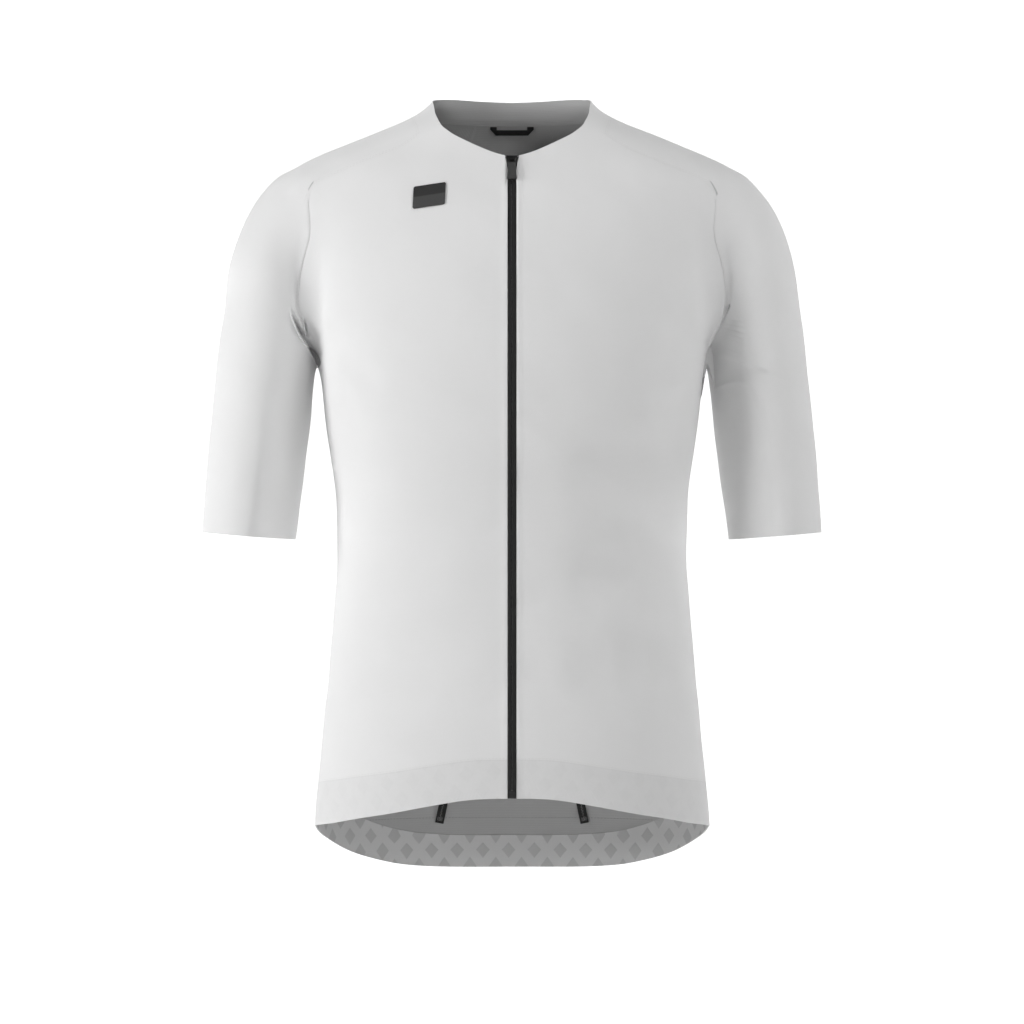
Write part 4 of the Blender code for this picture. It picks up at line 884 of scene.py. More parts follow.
def lay_flat(obj):
    """Unwraps a sewn skin, panel by panel, so that its UV map is in metres."""
    with editing(obj, "EDGE"):
        sleeves = [k for k, m in enumerate(obj.data.materials) if m.name.startswith("sleeve")]
        select_by(
            obj, "edges",
            lambda e: len({f.material_index for f in e.link_faces}) > 1
            or (e.link_faces[0].material_index in sleeves and underarm(e)),
        )
        bpy.ops.mesh.mark_seam()
        bpy.ops.mesh.select_all(action="SELECT")
        bpy.ops.uv.unwrap(method="ANGLE_BASED", margin=UNWRAP_MARGIN)
    mesh = obj.data
    layer = mesh.uv_layers.active
    uv = read(layer.data, "uv", width=2)
    drawn = real = 0.0
    for face in mesh.polygons:
        ring = uv[list(face.loop_indices)]
        after = np.roll(ring, -1, axis=0)
        drawn += abs((ring[:, 0] * after[:, 1] - after[:, 0] * ring[:, 1]).sum()) / 2
        real += face.area
    layer.data.foreach_set("uv", (uv * math.sqrt(real / drawn)).astype(np.float32).ravel())


def is_folded(face):
    """Whether a face lies in front of an armpit."""
    x, y, z = face.calc_center_median()
    low, high = FOLDED_LOW, FOLDED_HIGH
    return low[0] < abs(x) < high[0] and low[1] < y < high[1] and low[2] < z < high[2]


def refine(obj):
    """Cuts the faces in front of the armpits finer, so that they can hold sharp folds."""
    with editing(obj):
        select_by(obj, "faces", is_folded)
        bpy.ops.mesh.subdivide(number_cuts=FOLDED_CUTS)
        bpy.ops.mesh.vertices_smooth(factor=FOLDED_EASE, repeat=FOLDED_ROUNDS)


def corner_points(mesh):
    """Inner points where other than four edges meet: a panel's corners, and the two armpits."""
    edges, _, _, count = edge_panels(mesh)
    valence = np.bincount(edges.ravel(), minlength=len(mesh.vertices))
    on_rim = np.zeros(len(mesh.vertices), bool)
    on_rim[edges[count == 1].ravel()] = True
    return ~on_rim & (valence != 4)


def smooth_through(obj, levels):
    """Subdivides a mesh so that its smooth surface still passes through its first points.

    At a panel's corners it passes level with them, and may slip sideways.
    """
    mesh = obj.data
    wanted = places(mesh)
    slip = corner_points(mesh)
    ways = outward(mesh)[slip]
    smooth = add_modifier(obj, "SUBSURF", levels=1, render_levels=1, boundary_smooth="PRESERVE_CORNERS")
    for _ in range(THROUGH_ROUNDS):
        ready = obj.evaluated_get(bpy.context.evaluated_depsgraph_get())
        off = wanted - places(ready.data)[: len(wanted)]
        off[slip] = (off[slip] * ways).sum(axis=1, keepdims=True) * ways
        set_places(mesh, places(mesh) + off)
    smooth.levels = smooth.render_levels = levels
    apply_modifiers(obj)


def nearest_on(route, flat):
    """How far each point lies to the right of a route that runs down, and how far along it, from 0 to 1."""
    run = np.concatenate([[0], np.cumsum(np.linalg.norm(np.diff(route, axis=0), axis=1))])
    distance = np.full(len(flat), np.inf)
    along = np.zeros(len(flat))
    hand = np.ones(len(flat))
    for k, (start, end) in enumerate(zip(route, route[1:])):
        leg = end - start
        t = np.clip((flat - start) @ leg / (leg @ leg), 0, 1)
        gap = flat - start - t[:, None] * leg
        away = np.linalg.norm(gap, axis=1)
        closer = away < distance
        distance[closer] = away[closer]
        along[closer] = (run[k] + t[closer] * (run[k + 1] - run[k])) / run[-1]
        hand[closer] = np.sign(leg[0] * gap[closer, 1] - leg[1] * gap[closer, 0])
    return distance * hand, along


def eased(share):
    """A smooth rise from 0 to 1."""
    share = np.clip(share, 0, 1)
    return share * share * (3 - 2 * share)


def trough(share):
    """The depth across a crease or seam: 1 in the middle, and a slight swell on both sides."""
    return np.exp(-share**2) - LIP_SHARE * np.exp(-(((share - LIP_AT) / LIP_WIDTH) ** 2))


def near_line(line, reach, points, ways, gain):
    """The points near a crease or fold, how far from it and along it they are, and how far they face it."""
    flat = points[:, [0, 2]]
    route = smooth_route(line.marks, CREASE_STEPS)
    near = ((flat > route.min(axis=0) - reach) & (flat < route.max(axis=0) + reach)).all(axis=1)
    near &= ways[:, 1] * line.side > 0
    distance, along = nearest_on(route, flat[near])
    return near, distance, along, np.clip(gain * ways[near, 1] * line.side, 0, 1)


def crease_depth(points, ways):
    """How far the cloth sinks into its creases at each point."""
    depth = np.zeros(len(points))
    for crease in CREASES:
        reach = CREASE_REACH * crease.width
        near, distance, along, facing = near_line(crease, reach, points, ways, FACING_GAIN)
        strength = eased(np.minimum(along, 1 - along) / END_FADE) * facing
        depth[near] += crease.depth * trough(np.abs(distance) / crease.width) * strength
    return depth


def set_back(points, ways, on_sleeve):
    """How far the cloth is set back along Y, into the folds or on a sleeve's inner side, whichever is more.

    A fold never reaches past the middle of the jersey. Its lip stands out on top of that.
    """
    back = np.zeros(len(points))
    raised = np.zeros(len(points))
    for fold in FOLDS:
        near, distance, along, facing = near_line(fold, FOLD_REACH * fold.width, points, ways, FOLD_GAIN)
        past = np.maximum(distance, 0)
        width = fold.width * (FOLD_NARROW + (1 - FOLD_NARROW) * eased(along))
        strength = eased(along / fold.grow) * facing
        sunk = fold.depth * eased(past / fold.sharp) * np.exp(-((past / width) ** fold.power)) * strength
        back[near] = np.where(sunk > np.abs(back[near]), -fold.side * sunk, back[near])
        lip = fold.lip * np.exp(-(((distance + fold.sharp) / fold.sharp) ** 2)) * strength
        raised[near] += fold.side * lip * eased((1 - along) / END_FADE)
    behind = (1 + ways[:, 1]) / 2
    turned = sleeve_turn(points) * on_sleeve * (1 - (1 - TURN_BEHIND) * eased(behind))
    room = FOLD_FLOOR_Y + np.abs(points[:, 1])
    back = np.clip(back, -room, room)
    return np.where(turned > np.abs(back), turned, back) + raised


def shoulder_round(points):
    """Takes the corner off the shoulders and fills the dip before it."""
    total = np.zeros(len(points))
    for shift in SHOULDER_SHIFTS:
        away = ((np.abs(points[:, 0]) - shift.x) ** 2 + (points[:, 2] - shift.z) ** 2) / shift.width**2
        total += shift.height * np.exp(-away)
    return total


def sleeve_turn(points):
    """How far back each sleeve's inner side is set: most at its inner edge."""
    down = (TURN_TOP_Z - points[:, 2]) / (TURN_TOP_Z - TURN_FOOT_Z)
    inner = TURN_INNER_X[0] + (TURN_INNER_X[1] - TURN_INNER_X[0]) * down
    total = np.zeros(len(points))
    for turn in TURNS:
        x = points[:, 0] * turn.hand
        depth = turn.depth + (turn.foot_depth - turn.depth) * np.clip(down, 0, 1)
        share = (1 - eased((x - inner) / turn.width)) * (x > 0)
        total += depth * share
    return total * eased((TURN_TOP_Z + TURN_RISE_Z - points[:, 2]) / (2 * TURN_RISE_Z))


def unevenness(points):
    total = np.zeros(len(points))
    for wave in WAVES:
        angle = 2 * math.pi * (points[:, 0] / wave.x + points[:, 1] / wave.y + points[:, 2] / wave.z)
        total += wave.height * np.sin(angle + wave.phase)
    return total


def of_sleeves(mesh):
    """Which corners of a sewn skin belong to a sleeve."""
    names = [m.name for m in mesh.materials]
    found = np.zeros(len(mesh.vertices), bool)
    for face in mesh.polygons:
        if names[face.material_index].startswith("sleeve"):
            found[list(face.vertices)] = True
    return found


def edge_roll(points, ways):
    """The folded cloth edge that stands up a little on both sides of the zip."""
    away = (np.abs(points[:, 0]) - EDGE_ROLL_X) / EDGE_ROLL_WIDTH
    return EDGE_ROLL_HEIGHT * np.exp(-away**2) * (ways[:, 1] < EDGE_ROLL_FACING)


def edge_panels(mesh):
    """For each edge of a skin: its corners, its faces' lowest and highest material, and their count."""
    edges = read(mesh.edges, "vertices", np.int32, 2)
    loop_edge = read(mesh.loops, "edge_index", np.int32)
    sides = read(mesh.polygons, "loop_total", np.int32)
    of_loop = np.repeat(read(mesh.polygons, "material_index", np.int32), sides)
    low = np.full(len(edges), len(mesh.materials))
    high = np.full(len(edges), -1)
    np.minimum.at(low, loop_edge, of_loop)
    np.maximum.at(high, loop_edge, of_loop)
    return edges, low, high, np.bincount(loop_edge, minlength=len(edges))


def sewn_down(points, rim):
    """How far a pocket panel dips towards its sewn sides and foot. Its top edge stays open."""
    top = np.array([rim[np.abs(rim[:, 0] - x) < POCKET_COLUMN, 2].max() for x in rim[:, 0]])
    sewn = rim[rim[:, 2] < top - POCKET_CORNER]
    away = np.array([((sewn - point) ** 2).sum(axis=1).min() for point in points])
    return POCKET_DIP * np.exp(-away / POCKET_DIP_WIDTH**2)


def chained(edges):
    """Edges put end to end, as lists of corners."""
    beside = {}
    for a, b in edges:
        beside.setdefault(int(a), []).append(int(b))
        beside.setdefault(int(b), []).append(int(a))
    chains = []
    starts = [v for v, found in beside.items() if len(found) == 1]
    while beside:
        starts = [v for v in starts if v in beside]
        at = starts[0] if starts else next(iter(beside))
        chain = [at]
        while beside.get(at):
            after = beside[at].pop()
            beside[after].remove(at)
            if not beside[at]:
                del beside[at]
            at = after
            chain.append(at)
        beside.pop(at, None)
        chains.append(chain)
    return chains


def find_seams(mesh):
    """The seams of the sewn skin, by the two panels that each joins, as chains of corners."""
    edges, low, high, _ = edge_panels(mesh)
    names = [m.name for m in mesh.materials]
    seams = {}
    for pair in {(int(a), int(b)) for a, b in zip(low, high) if a != b}:
        found = edges[(low == pair[0]) & (high == pair[1])]
        seams[frozenset(names[k] for k in pair)] = chained(found)
    return seams


def sink_seams(mesh, seams):
    """Lets the cloth sink in a narrow line along every seam, with a slight swell on both sides."""
    corners = sorted({corner for chains in seams.values() for chain in chains for corner in chain})
    points = places(mesh)
    ways = outward(mesh)
    line = points[corners]
    reach = GROOVE_REACH * sizes().groove_width
    away = np.full(len(points), np.inf)
    order = np.argsort(line[:, 2])
    line = line[order]
    for k in np.argsort(points[:, 2]):
        first, last = np.searchsorted(line[:, 2], (points[k, 2] - reach, points[k, 2] + reach))
        if last > first:
            away[k] = np.sqrt(((line[first:last] - points[k]) ** 2).sum(axis=1).min())
    share = np.where(np.isfinite(away), away, 1.0) / sizes().groove_width
    set_places(mesh, points - (sizes().groove * trough(share))[:, None] * ways)


def line_on(points, ways):
    return Line(np.array(points), np.array(ways))


def thickened(obj, thickness, inner_slot=0):
    """A shell under a skin, whose inner side can take a slot of its own. The slot has to be there first."""
    obj.data.materials.clear()
    for _ in range(inner_slot + 1):
        obj.data.materials.append(None)
    add_modifier(
        obj, "SOLIDIFY", thickness=thickness, offset=-1.0, use_quality_normals=True,
        material_offset=inner_slot, use_rim=True,
    )
    apply_modifiers(obj)


# ==== Stitches and other small repeated shapes ====


def resampled(line, pitch, start=0.0):
    """A line's points and ways at an even pitch, with the direction of travel."""
    points = line.points
    run = np.concatenate([[0], np.cumsum(np.linalg.norm(np.diff(points, axis=0), axis=1))])
    at = np.arange(start, run[-1] - start, pitch)
    place = np.stack([np.interp(at, run, points[:, k]) for k in range(3)], axis=1)
    way = unit(np.stack([np.interp(at, run, line.ways[:, k]) for k in range(3)], axis=1))
    travel = unit(np.gradient(place, axis=0))
    return place, way, travel


def beside(line, distance):
    """A line moved sideways along its surface."""
    travel = unit(np.gradient(line.points, axis=0))
    side = unit(np.cross(line.ways, travel))
    return line_on(line.points + distance * side, line.ways)


def onto(line, tree, lift=0.0):
    """A line put down on the nearest part of a surface."""
    points, ways = [], []
    for point, way in zip(line.points, line.ways):
        place, normal, _, _ = tree.find_nearest(Vector(point))
        if normal.dot(Vector(way)) < 0:
            normal = -normal
        points.append(place + lift * normal)
        ways.append(normal)
    return line_on(points, ways)


def cast_line(route, tree, y_start, way):
    """A line on the first surface that a route in x and z meets along Y."""
    points, ways = [], []
    for x, z in route:
        place, normal, _, _ = tree.ray_cast(Vector((x, y_start, z)), Vector((0.0, way, 0.0)))
        if place is None:
            continue
        points.append(place)
        ways.append(normal if normal.y * way < 0 else -normal)
    return line_on(points, ways)


def smooth_route(marks, steps=14):
    """A smooth route through marks, with many points on it."""
    marks = np.array(marks, float)
    padded = np.vstack([2 * marks[0] - marks[1], marks, 2 * marks[-1] - marks[-2]])
    route = []
    for a, b, c, d in zip(padded, padded[1:], padded[2:], padded[3:]):
        for t in np.arange(steps) / steps:
            bend = (2 * a - 5 * b + 4 * c - d) * t**2 + (3 * b - a - 3 * c + d) * t**3
            route.append(0.5 * (2 * b + (c - a) * t + bend))
    route.append(marks[-1])
    return np.array(route)


def stitch_model(length, thickness):
    """One stitch along X that lies on XY: a short thread that dips at both ends."""
    clear_selection()
    bpy.ops.mesh.primitive_uv_sphere_add(
        segments=5, ring_count=4, radius=0.5, rotation=(0.0, math.pi / 2, 0.0)
    )
    model = new_piece("stitch_model")
    model.scale = (thickness * THREAD_FLAT, thickness, length)
    settle(model)
    return model


def copied_along(model, name, frames):
    """One piece made of a model's copies, one at each frame of place, travel and way."""
    base = places(model.data)
    faces = [tuple(p.vertices) for p in model.data.polygons]
    points, all_faces = [], []
    for place, travel, way in frames:
        side = unit(np.cross(way, travel))
        travel = np.cross(side, way)
        first = len(points) * len(base)
        points.append(place + base[:, :1] * travel + base[:, 1:2] * side + base[:, 2:] * way)
        all_faces += [tuple(first + k for k in face) for face in faces]
    mesh = bpy.data.meshes.new(name)
    mesh.from_pydata(np.concatenate(points).tolist(), [], all_faces)
    bpy.data.objects.remove(model, do_unlink=True)
    return placed(name, mesh)


def stitched(name, frames, length, thickness):
    """A piece of stitches, one at each frame."""
    return copied_along(stitch_model(length, thickness), name, frames)


def stitch_frames(line, pitch, turn=0.0):
    """Places for stitches along a line; a turn makes them slant one way and the other in turn."""
    place, way, travel = resampled(line, pitch, pitch / 2)
    frames = []
    for k in range(len(place)):
        side = np.cross(way[k], travel[k])
        angle = turn if k % 2 else -turn
        frames.append((place[k], math.cos(angle) * travel[k] + math.sin(angle) * side, way[k]))
    return frames


# ==== Operators ====


class JERSEY_OT_cloth(bpy.types.Operator):
    """Sew, crease and cut apart the fronts, back, sleeves, collar and hem bands"""

    bl_idname = "jersey.cloth"
    bl_label = "Cloth panels"

    def execute(self, context):
        skins = [marked(skin_of(p.node, p.way), p.node) for p in PANELS]
        pick(*skins)
        bpy.ops.object.join()
        skin = new_piece("jersey_skin")
        merged_to_quads(skin, SEAM_MERGE)
        lay_flat(skin)
        smooth_through(skin, SMOOTH_LEVELS)
        refine(skin)
        self.crease(skin.data)
        sewing["tree"] = tree_of(skin)
        self.cut(skin)
        return {"FINISHED"}

    def crease(self, mesh):
        points, ways = places(mesh), outward(mesh)
        rise = unevenness(points) + edge_roll(points, ways) + shoulder_round(points)
        rise -= crease_depth(points, ways)
        moved = points + rise[:, None] * ways
        moved[:, 1] += set_back(points, ways, of_sleeves(mesh))
        set_places(mesh, moved)
        seams = find_seams(mesh)
        sink_seams(mesh, seams)
        points, ways = places(mesh), outward(mesh)
        sewing["seams"] = {
            pair: [line_on(points[chain], ways[chain]) for chain in chains] for pair, chains in seams.items()
        }

    def cut(self, skin):
        with editing(skin, everything=True):
            bpy.ops.mesh.separate(type="MATERIAL")
        parts = {o.data.materials[0].name: o for o in bpy.context.selected_objects}
        finishes = {
            # the knit's inner slot carries painted shade
            "knit": (sizes().cloth, "white_knit", "knit_reverse"),
            "band": (sizes().band, "white_band", "gripper_inside"),
        }
        for panel in PANELS:
            obj = parts[panel.node]
            obj.name = obj.data.name = panel.node + "_cloth"
            thickness, outer, inner = finishes[panel.slot]
            thickened(obj, thickness, inner_slot=1)
            dress(obj, panel.slot, outer, inner, replaces=[panel.node])


class JERSEY_OT_pockets(bpy.types.Operator):
    """Model the pocket panel over the lower back"""

    bl_idname = "jersey.pockets"
    bl_label = "Pocket panel"

    def execute(self, context):
        obj = marked(skin_of(POCKET_CUT.node, POCKET_CUT.way), "pocket_mark")
        obj.name = obj.data.name = "pocket_cloth"
        merged_to_quads(obj)
        lay_flat(obj)
        smooth_through(obj, POCKET_LEVELS)
        points, ways = places(obj.data), outward(obj.data)
        rise = unevenness(points) - crease_depth(points, ways)
        edges, _, _, count = edge_panels(obj.data)
        rise -= sewn_down(points, points[np.unique(edges[count == 1])])
        set_places(obj.data, points + rise[:, None] * ways)
        points, ways = places(obj.data), outward(obj.data)
        sewing["pocket_rim"] = [line_on(points[c], ways[c]) for c in chained(edges[count == 1])]
        sewing["pocket_tree"] = tree_of(obj)
        thickened(obj, sizes().cloth)
        dress(obj, "knit", "white_knit", replaces=[POCKET_CUT.node])
        return {"FINISHED"}


class JERSEY_OT_stitches(bpy.types.Operator):
    """Run the rows of stitches along the seams and round the pockets"""

    bl_idname = "jersey.stitches"
    bl_label = "Stitches"

    def execute(self, context):
        size = sizes()
        for name, rows, thickness, look in (
            ("seam_stitches", self.seam_rows(), 1.0, "white_thread"),
            ("pocket_stitches", self.pocket_rows(), 1.0, "white_thread"),
            ("pocket_foot_stitches", self.foot_rows(), FOOT_THREAD, "shade_thread"),
        ):
            frames = []
            for line, tree in rows:
                frames += stitch_frames(onto(line, tree, THREAD_LIFT * size.thread), size.stitch_pitch)
            dress(stitched(name, frames, size.stitch, size.thread * thickness), "knit", look)
        return {"FINISHED"}

    def seam_rows(self):
        """Two rows beside each seam."""
        return [
            (beside(line, side * STITCH_OFF), sewing["tree"])
            for lines in sewing["seams"].values()
            for line in lines
            if len(line.points) >= SHORTEST_LINE
            for side in (-1, 1)
        ]

    def foot_rows(self):
        """The row that holds the pockets' foot, seen on the inner side of the back. Its thread is darkened as
        painted shade for the fold it runs in.
        """
        inside = tree_of(bpy.data.objects["back_cloth"])
        route = [(x, FOOT_ROW_Z) for x in np.linspace(-FOOT_ROW_X, FOOT_ROW_X, FOOT_ROW_POINTS)]
        return [(cast_line(route, inside, 0.0, 1.0), inside)]

    def pocket_rows(self):
        """Rows round the pocket panel, under its top hem and down its dividers."""
        rows = []
        tree = sewing["pocket_tree"]
        for rim in sewing["pocket_rim"]:
            travel = unit(np.gradient(rim.points, axis=0))
            middle = rim.points.mean(axis=0)
            inward = unit(np.cross(rim.ways, travel))
            sign = np.sign((inward * (middle - rim.points)).sum(axis=1).mean())
            top = (np.abs(travel[:, 2]) < POCKET_LEVEL) & (rim.points[:, 2] > middle[2])
            inset = np.where(top, POCKET_HEM, POCKET_INSET)
            moved = rim.points + sign * inset[:, None] * inward
            for part in np.split(np.arange(len(top)), np.flatnonzero(np.diff(top.astype(int))) + 1):
                if len(part) > SHORTEST_LINE:
                    rows.append((line_on(moved[part], rim.ways[part]), tree))
        for hand in (-1.0, 1.0):
            for shift in (-DIVIDER_PAIR, DIVIDER_PAIR):
                rows.append((cast_line(divider_route(hand, shift), tree, OUTSIDE_Y, -1.0), tree))
        return rows


class JERSEY_OT_seam_edges(bpy.types.Operator):
    """Lay the fine turned edge that stands up along the armholes and the collar's ends"""

    bl_idname = "jersey.seam_edges"
    bl_label = "Seam edges"

    def execute(self, context):
        for k, line in enumerate(self.edges()):
            crest = line.points + SEAM_EDGE_RISE * line.ways
            dress(round_cord("seam_edge_%d" % k, crest, SEAM_EDGE_RADIUS), "knit", "white_knit")
        return {"FINISHED"}

    def edges(self):
        """The armhole seams above the armpits, and the two ends of the collar."""
        found = []
        found = []
        for _, side in LEFT_AND_RIGHT:
            for panel in ("front_" + side, "back"):
                for line in sewing["seams"].get(frozenset((panel, "sleeve_" + side)), []):
                    height = line.points[:, 2]
                    upright = (height < SEAM_EDGE_TOP_Z) & (height > SEAM_EDGE_FOOT_Z)
                    found.append(line_on(line.points[upright], line.ways[upright]))
            found += sewing["seams"].get(frozenset(("front_" + side, "collar_back")), [])
        return [line for line in found if len(line.points) > SHORTEST_LINE]


def round_cord(name, points, radius):
    """A thin round cord through these points."""
    clear_selection()
    curve = bpy.data.curves.new(name, "CURVE")
    curve.dimensions = "3D"
    curve.bevel_depth = radius
    curve.bevel_resolution = 1
    curve.use_fill_caps = True
    spline = curve.splines.new("POLY")
    spline.points.add(len(points) - 1)
    for point, place in zip(spline.points, points):
        point.co = (*place, 1.0)
    pick(placed(name, curve))
    bpy.ops.object.convert(target="MESH")
    return new_piece(name)


class JERSEY_OT_tapes(bpy.types.Operator):
    """Weave the zip tapes and pocket tapes, and sew the zigzags down the pocket tapes"""

    bl_idname = "jersey.tapes"
    bl_label = "Tapes"

    def execute(self, context):
        thread = sizes().thread
        for hand, side in LEFT_AND_RIGHT:
            for kind in ("zip_tape_", "pocket_tape_"):
                frame["nodes"][kind + side].data.materials[0] = material("black_tape_weave")
            tree = tree_of(frame["nodes"]["pocket_tape_" + side])
            line = cast_line(divider_route(hand)[ZIGZAG_END:-ZIGZAG_END], tree, 0.0, 1.0)
            frames = stitch_frames(onto(line, tree, ZIGZAG_LIFT), ZIGZAG_PITCH, ZIGZAG_SLANT)
            zigzag = stitched("pocket_tape_zigzag_" + side, frames, ZIGZAG_LENGTH, thread * ZIGZAG_THREAD)
            dress(zigzag, "black_tape", "grey_thread")
            foot = line_on(line.points[:BARTACK_FOOT], line.ways[:BARTACK_FOOT])
            frames = []
            for shift in np.linspace(-BARTACK_X, BARTACK_X, BARTACK_BARS):
                bar = onto(beside(foot, shift), tree, BARTACK_LIFT)
                frames += stitch_frames(bar, BARTACK_PITCH)[:BARTACK_STITCHES]
            bartack = stitched("pocket_bartack_" + side, frames, BARTACK_LENGTH, thread * BARTACK_THREAD)
            dress(bartack, "black_tape", "grey_thread")
        return {"FINISHED"}


def divider_route(hand, shift=0.0):
    """The line that divides the pockets on one side, moved outwards by a shift."""
    return [(hand * (x + shift), z) for x, z in smooth_route(DIVIDER)]


def zip_line(count):
    """The front line of the closed zip: places on the middle plane from its foot to the slider."""
    chain = places(frame["nodes"]["zip_chain"].data)
    heights = sorted({round(float(z), 4) for z in chain[:, 2]})
    front = []
    for z in heights:
        near = chain[np.abs(chain[:, 2] - z) < TEETH_SLICE]
        front.append((near[:, 1].min(), near[near[:, 1].argmin(), 2]))
    front = np.array(sorted(set(front), key=lambda pair: pair[1]))
    z = np.linspace(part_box("zip_chain")[0].z, TEETH_TOP_Z, count)
    y = np.interp(z, front[:, 1], front[:, 0])
    half = TEETH_EVENED // 2
    y[half:-half] = np.convolve(y, np.ones(TEETH_EVENED) / TEETH_EVENED, "valid")
    points = np.stack([np.zeros(count), y, z], axis=1)
    ways = unit(np.cross(np.array([1.0, 0.0, 0.0]), unit(np.gradient(points, axis=0))))
    ways *= np.where(ways[:, 1:2] > 0, -1.0, 1.0)
    return line_on(points, ways)


class JERSEY_OT_zip_rows(bpy.types.Operator):
    """Model the two closed rows of the zip, with their slanted ribs"""

    bl_idname = "jersey.zip_rows"
    bl_label = "Zip rows"

    def execute(self, context):
        line = zip_line(TEETH_ALONG)
        for hand, side in LEFT_AND_RIGHT:
            row = self.row(line, hand, "zip_row_" + side)
            stands_for = ["zip_chain"] if side == "left" else []
            dress(row, "zip_elements", "zip_elements", replaces=stands_for)
        frames = []
        pitch = sizes().rib_pitch
        ribs_at = list(zip(*resampled(line, pitch, pitch)))
        for hand in (-1.0, 1.0):
            side = np.array([hand, 0.0, 0.0])
            for lane, tilt in RIB_LANES:
                for place, way, travel in ribs_at:
                    at = place + lane * side + RIB_RISE * TEETH_CROWN * way
                    frames.append((at, math.cos(RIB_SLANT) * side + tilt * math.sin(RIB_SLANT) * travel, way))
        dress(stitched("zip_ribs", frames, RIB_LENGTH, RIB_THICK), "zip_elements", "zip_elements")
        return {"FINISHED"}

    def row(self, line, hand, name):
        """One crowned strip beside the middle line."""
        clear_selection()
        last = len(line.points) - 1
        bpy.ops.mesh.primitive_grid_add(x_subdivisions=TEETH_ACROSS - 1, y_subdivisions=last, size=1.0)
        row = new_piece(name)
        grid = places(row.data)
        u = grid[:, 0] + 0.5
        k = np.rint((grid[:, 1] + 0.5) * last).astype(int)
        crown = TEETH_CROWN * np.sqrt(np.clip(1 - ((u - 0.5) / 0.5) ** 2, 0, 1))
        where = line.points[k] + (crown - TEETH_CROWN)[:, None] * line.ways[k]
        where[:, 0] = hand * (TEETH_GAP + u * (TEETH_HALF - TEETH_GAP))
        set_places(row.data, where)
        settle(row)
        if row.data.polygons[0].normal.y > 0:
            turn_over(row)
        thickened(row, TEETH_THICK)
        return row


def zip_tilt():
    """How far the zip leans back from upright at the slider."""
    slider = places(frame["nodes"]["zip_slider"].data)
    top = slider[slider[:, 2] > slider[:, 2].max() - TILT_SLICE].mean(axis=0)
    foot = slider[slider[:, 2] < slider[:, 2].min() + TILT_SLICE].mean(axis=0)
    return math.atan2(foot[1] - top[1], top[2] - foot[2])


def hung(angle):
    """The turn and move that bring a piece made round the origin to the pull's pivot."""
    return Matrix.Translation(PIVOT) @ Matrix.Rotation(angle, 4, "X")


class JERSEY_OT_slider(bpy.types.Operator):
    """Model the slider: its rounded body and the bridge that holds the pull"""

    bl_idname = "jersey.slider"
    bl_label = "Slider"

    def execute(self, context):
        lean = hung(zip_tilt())
        body = self.body()
        settle(body, lean)
        dress(body, "slider_metal", "slider_lacquer", replaces=["zip_slider"])
        bridge = self.bridge()
        settle(bridge, lean)
        dress(bridge, "slider_metal", "bridge_metal")
        return {"FINISHED"}

    def body(self):
        """The front plate. Its face leans back above the pivot, to leave room for the pull's arms when they
        are turned up."""
        body = block("zip_slider_body", BODY_PLACE, BODY_SIZE)
        with editing(body):
            cut_at((0.0, 0.0, BODY_NECK_Z), (0.0, 0.0, 1.0))
            cut_at((0.0, 0.0, BODY_WAIST_Z), (0.0, 0.0, 1.0))
            select_by(body, "verts", lambda v: v.co.z < BODY_FOOT_Z)
            scaled((BODY_FOOT_SHARE, 1.0, 1.0))
            select_by(body, "verts", lambda v: abs(v.co.z - BODY_WAIST_Z) < NEAR_PLANE)
            scaled((BODY_WAIST_SHARE, 1.0, 1.0))
            select_by(body, "verts", lambda v: v.co.z > BODY_FACE_Z and v.co.y < BODY_FACE_Y)
            bpy.ops.transform.translate(value=(0.0, BODY_FACE_LEAN, 0.0))
        return rounded(body, BODY_ROUND)

    def bridge(self):
        """A bent bar over the pull's eye."""
        middle = (0.0, BRIDGE_Y, 0.0)
        clear_selection()
        bpy.ops.mesh.primitive_circle_add(
            vertices=BRIDGE_SIDES, radius=BRIDGE_RADIUS, fill_type="NGON",
            location=(0.0, BRIDGE_Y, BRIDGE_ARM),
        )
        bridge = new_piece("zip_slider_bridge")
        with editing(bridge, everything=True):
            bpy.ops.mesh.spin(steps=BRIDGE_STEPS, angle=math.pi, center=middle, axis=(1.0, 0.0, 0.0))
            bpy.ops.mesh.select_all(action="SELECT")
            scaled((BRIDGE_SPREAD, 1.0, 1.0), center_override=middle)
        points = places(bridge.data)
        if points[:, 1].mean() > BRIDGE_Y:
            points[:, 1] = 2 * BRIDGE_Y - points[:, 1]
            set_places(bridge.data, points)
        return bridge


